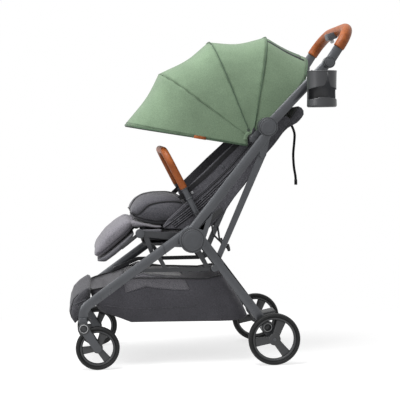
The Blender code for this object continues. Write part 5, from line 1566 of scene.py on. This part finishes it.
# %% [markdown]
# ## The front panel
# A padded panel closes the front of the basket and curls round the front crossbar. It is piped along
# both sides.
# %% The front panel
panel_out = [(-0.370, 0.2480), (-0.386, 0.236), (-0.4025, 0.219), (-0.4105, 0.197)]
panel_out += [(-0.4130, 0.1755), (-0.4090, 0.159), (-0.399, 0.142)]
panel_in = [(-0.340, 0.256), (-0.343, 0.232), (-0.346, 0.210), (-0.350, 0.186)]
panel_in += [(-0.366, 0.166), (-0.378, 0.152), (-0.390, 0.143)]
finish = {"rows": 34, "ends": 7.0, "side": 0.2, "crown": 0.5, "taper": 0.03}
front_pad = cushion("front_pad", panel_out, panel_in, 0.1715, dark_cloth, "chassis", **finish)
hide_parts("front_panel")
for side, s in SIDES:
    line = [(s * 0.166, y, z) for y, z in panel_out[1:-1]]
    piping(f"front_pad_piping_{side}", front_pad, line, 0.0015, black_cloth, "chassis")
round_seam = [(0.172, -0.356, 0.2180), (0.172, -0.380, 0.2085), (0.171, -0.402, 0.2010)]
round_seam += [(0.150, -0.4115, 0.1990), (0.075, -0.4125, 0.1985)]
seam = round_seam + [(0.0, -0.4127, 0.1984)] + mirrored(round_seam)[::-1]
piping("front_pad_seam", front_pad, seam, 0.0013, grey_plastic, "chassis")

# %% [markdown]
# ## The recline strap
# The free end of the strap that sets the backrest hangs behind the seat. It is a flat webbing, doubled
# and stitched at its tip so that it can't slip back through the buckle.
# %% The recline strap
STRAP_WIDE, STRAP_SIDE = 0.0105, (0.75, 0.66, 0.0)
knots = [(0.3201, 0.7607), (0.3292, 0.7454), (0.336, 0.722), (0.334, 0.690)]
knots += [(0.331, 0.655), (0.333, 0.615), (0.338, 0.583), (0.339, 0.5555)]
strap_path = [Vector((0.0, y, z)) for y, z in curve(knots, 6)]
strap_round = oval(STRAP_WIDE, 0.0018, 0.35, 16)
recline = sweep("recline_webbing", strap_path, strap_round, webbing, "backrest", side=STRAP_SIDE)
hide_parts("recline_strap")
tip_round = oval(STRAP_WIDE + 0.0004, 0.0040, 0.35, 16)
tip = sweep("recline_tip", strap_path[-5:], tip_round, webbing, "backrest", side=STRAP_SIDE)

# %% [markdown]
# ## Small parts under the seat
# A bent wire on each side holds the rear of the seat's cloth. It hangs from the backrest and moves
# with it. A fine groove on each front leg shows where the cast hub ends and the tube begins.
# %% Wire and grooves
WIRE_X, LEG_X, SEAM_AT = 0.100, 0.2035, (-0.1133, 0.3738)
wire_knots = [(0.0658, 0.4360), (0.0690, 0.4106), (0.0723, 0.3900)]
wire_knots += [(0.0829, 0.3749), (0.0960, 0.3620), (0.1021, 0.3544)]
wire = curve(wire_knots, 6)
wire_end = ((0.0985, 0.3740), (0.1000, 0.3640), (0.1015, 0.3550), (0.1020, 0.3510))
leg_turn = math.degrees(math.atan2(SEAM_AT[1] - HUB[1], SEAM_AT[0] - HUB[0]))
for side, s in SIDES:
    line = [(s * WIRE_X, y, z) for y, z in wire]
    sweep(f"seat_wire_{side}", line, circle(0.0032, 12), dark_coat, "backrest")
    line, swell = [(s * WIRE_X, *p) for p in wire_end], [0.7, 1.0, 1.0, 0.7]
    sweep(f"seat_wire_end_{side}", line, circle(0.0052, 14), black_plastic, "backrest", swell=swell)
    skin = oval(0.0165, 0.0400, 0.35, 40)
    ring = [(s * LEG_X + u, *toward(SEAM_AT, leg_turn, 0.0, v)) for u, v in skin]
    sweep(f"leg_groove_{side}", ring, circle(0.0006, 6), black_plastic, "chassis", loop=True)
print("small parts done")

# %% [markdown]
# ## Cloth that would crumple
# When the frame folds, the backrest comes down on the seat and the padding between them is pressed flat. The
# table lists the soft pieces, by the start of their names, with a direction, an anchor and a share to keep
# for each; here each of those pieces is only given its own copy of its mesh.
# %% Give the soft pieces their own meshes
BACK_NORMAL = (0.0, -math.sin(math.radians(BACK_SLOPE)), math.cos(math.radians(BACK_SLOPE)))
SEAT_PIECES = ("seat_crown", "seat_piping", "seat_low_piping", "seat_flap", "seat_cushion")
CRUMPLED = (
    (SEAT_PIECES, (0.0, 0.0, 1.0), (-0.12, 0.3885), 0.04),
    (("back_pad", "back_stitches"), BACK_NORMAL, on_back(0.2, 0.0148), 0.20),
    (("wing_", "stud_"), BACK_NORMAL, on_back(0.2, 0.003), 0.12),
    (("leg_pad", "leg_pocket"), (0.0, -0.35, 0.94), (-0.205, 0.3918), 0.15),
)
crumpled = []
for starts, axis, anchor, keep in CRUMPLED:
    for thing in sorted(bpy.data.objects, key=lambda o: o.name):
        if thing.name.startswith(starts) and thing.type == "MESH":
            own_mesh(thing)
            crumpled.append(thing.name)
print("crumple with the fold", len(crumpled), "pieces")

# %% [markdown]
# ## The last update
# The view layer is brought up to date. The dressed model has to stay inside the box of the
# imported one.
# %% Update the view layer
bpy.context.view_layer.update()
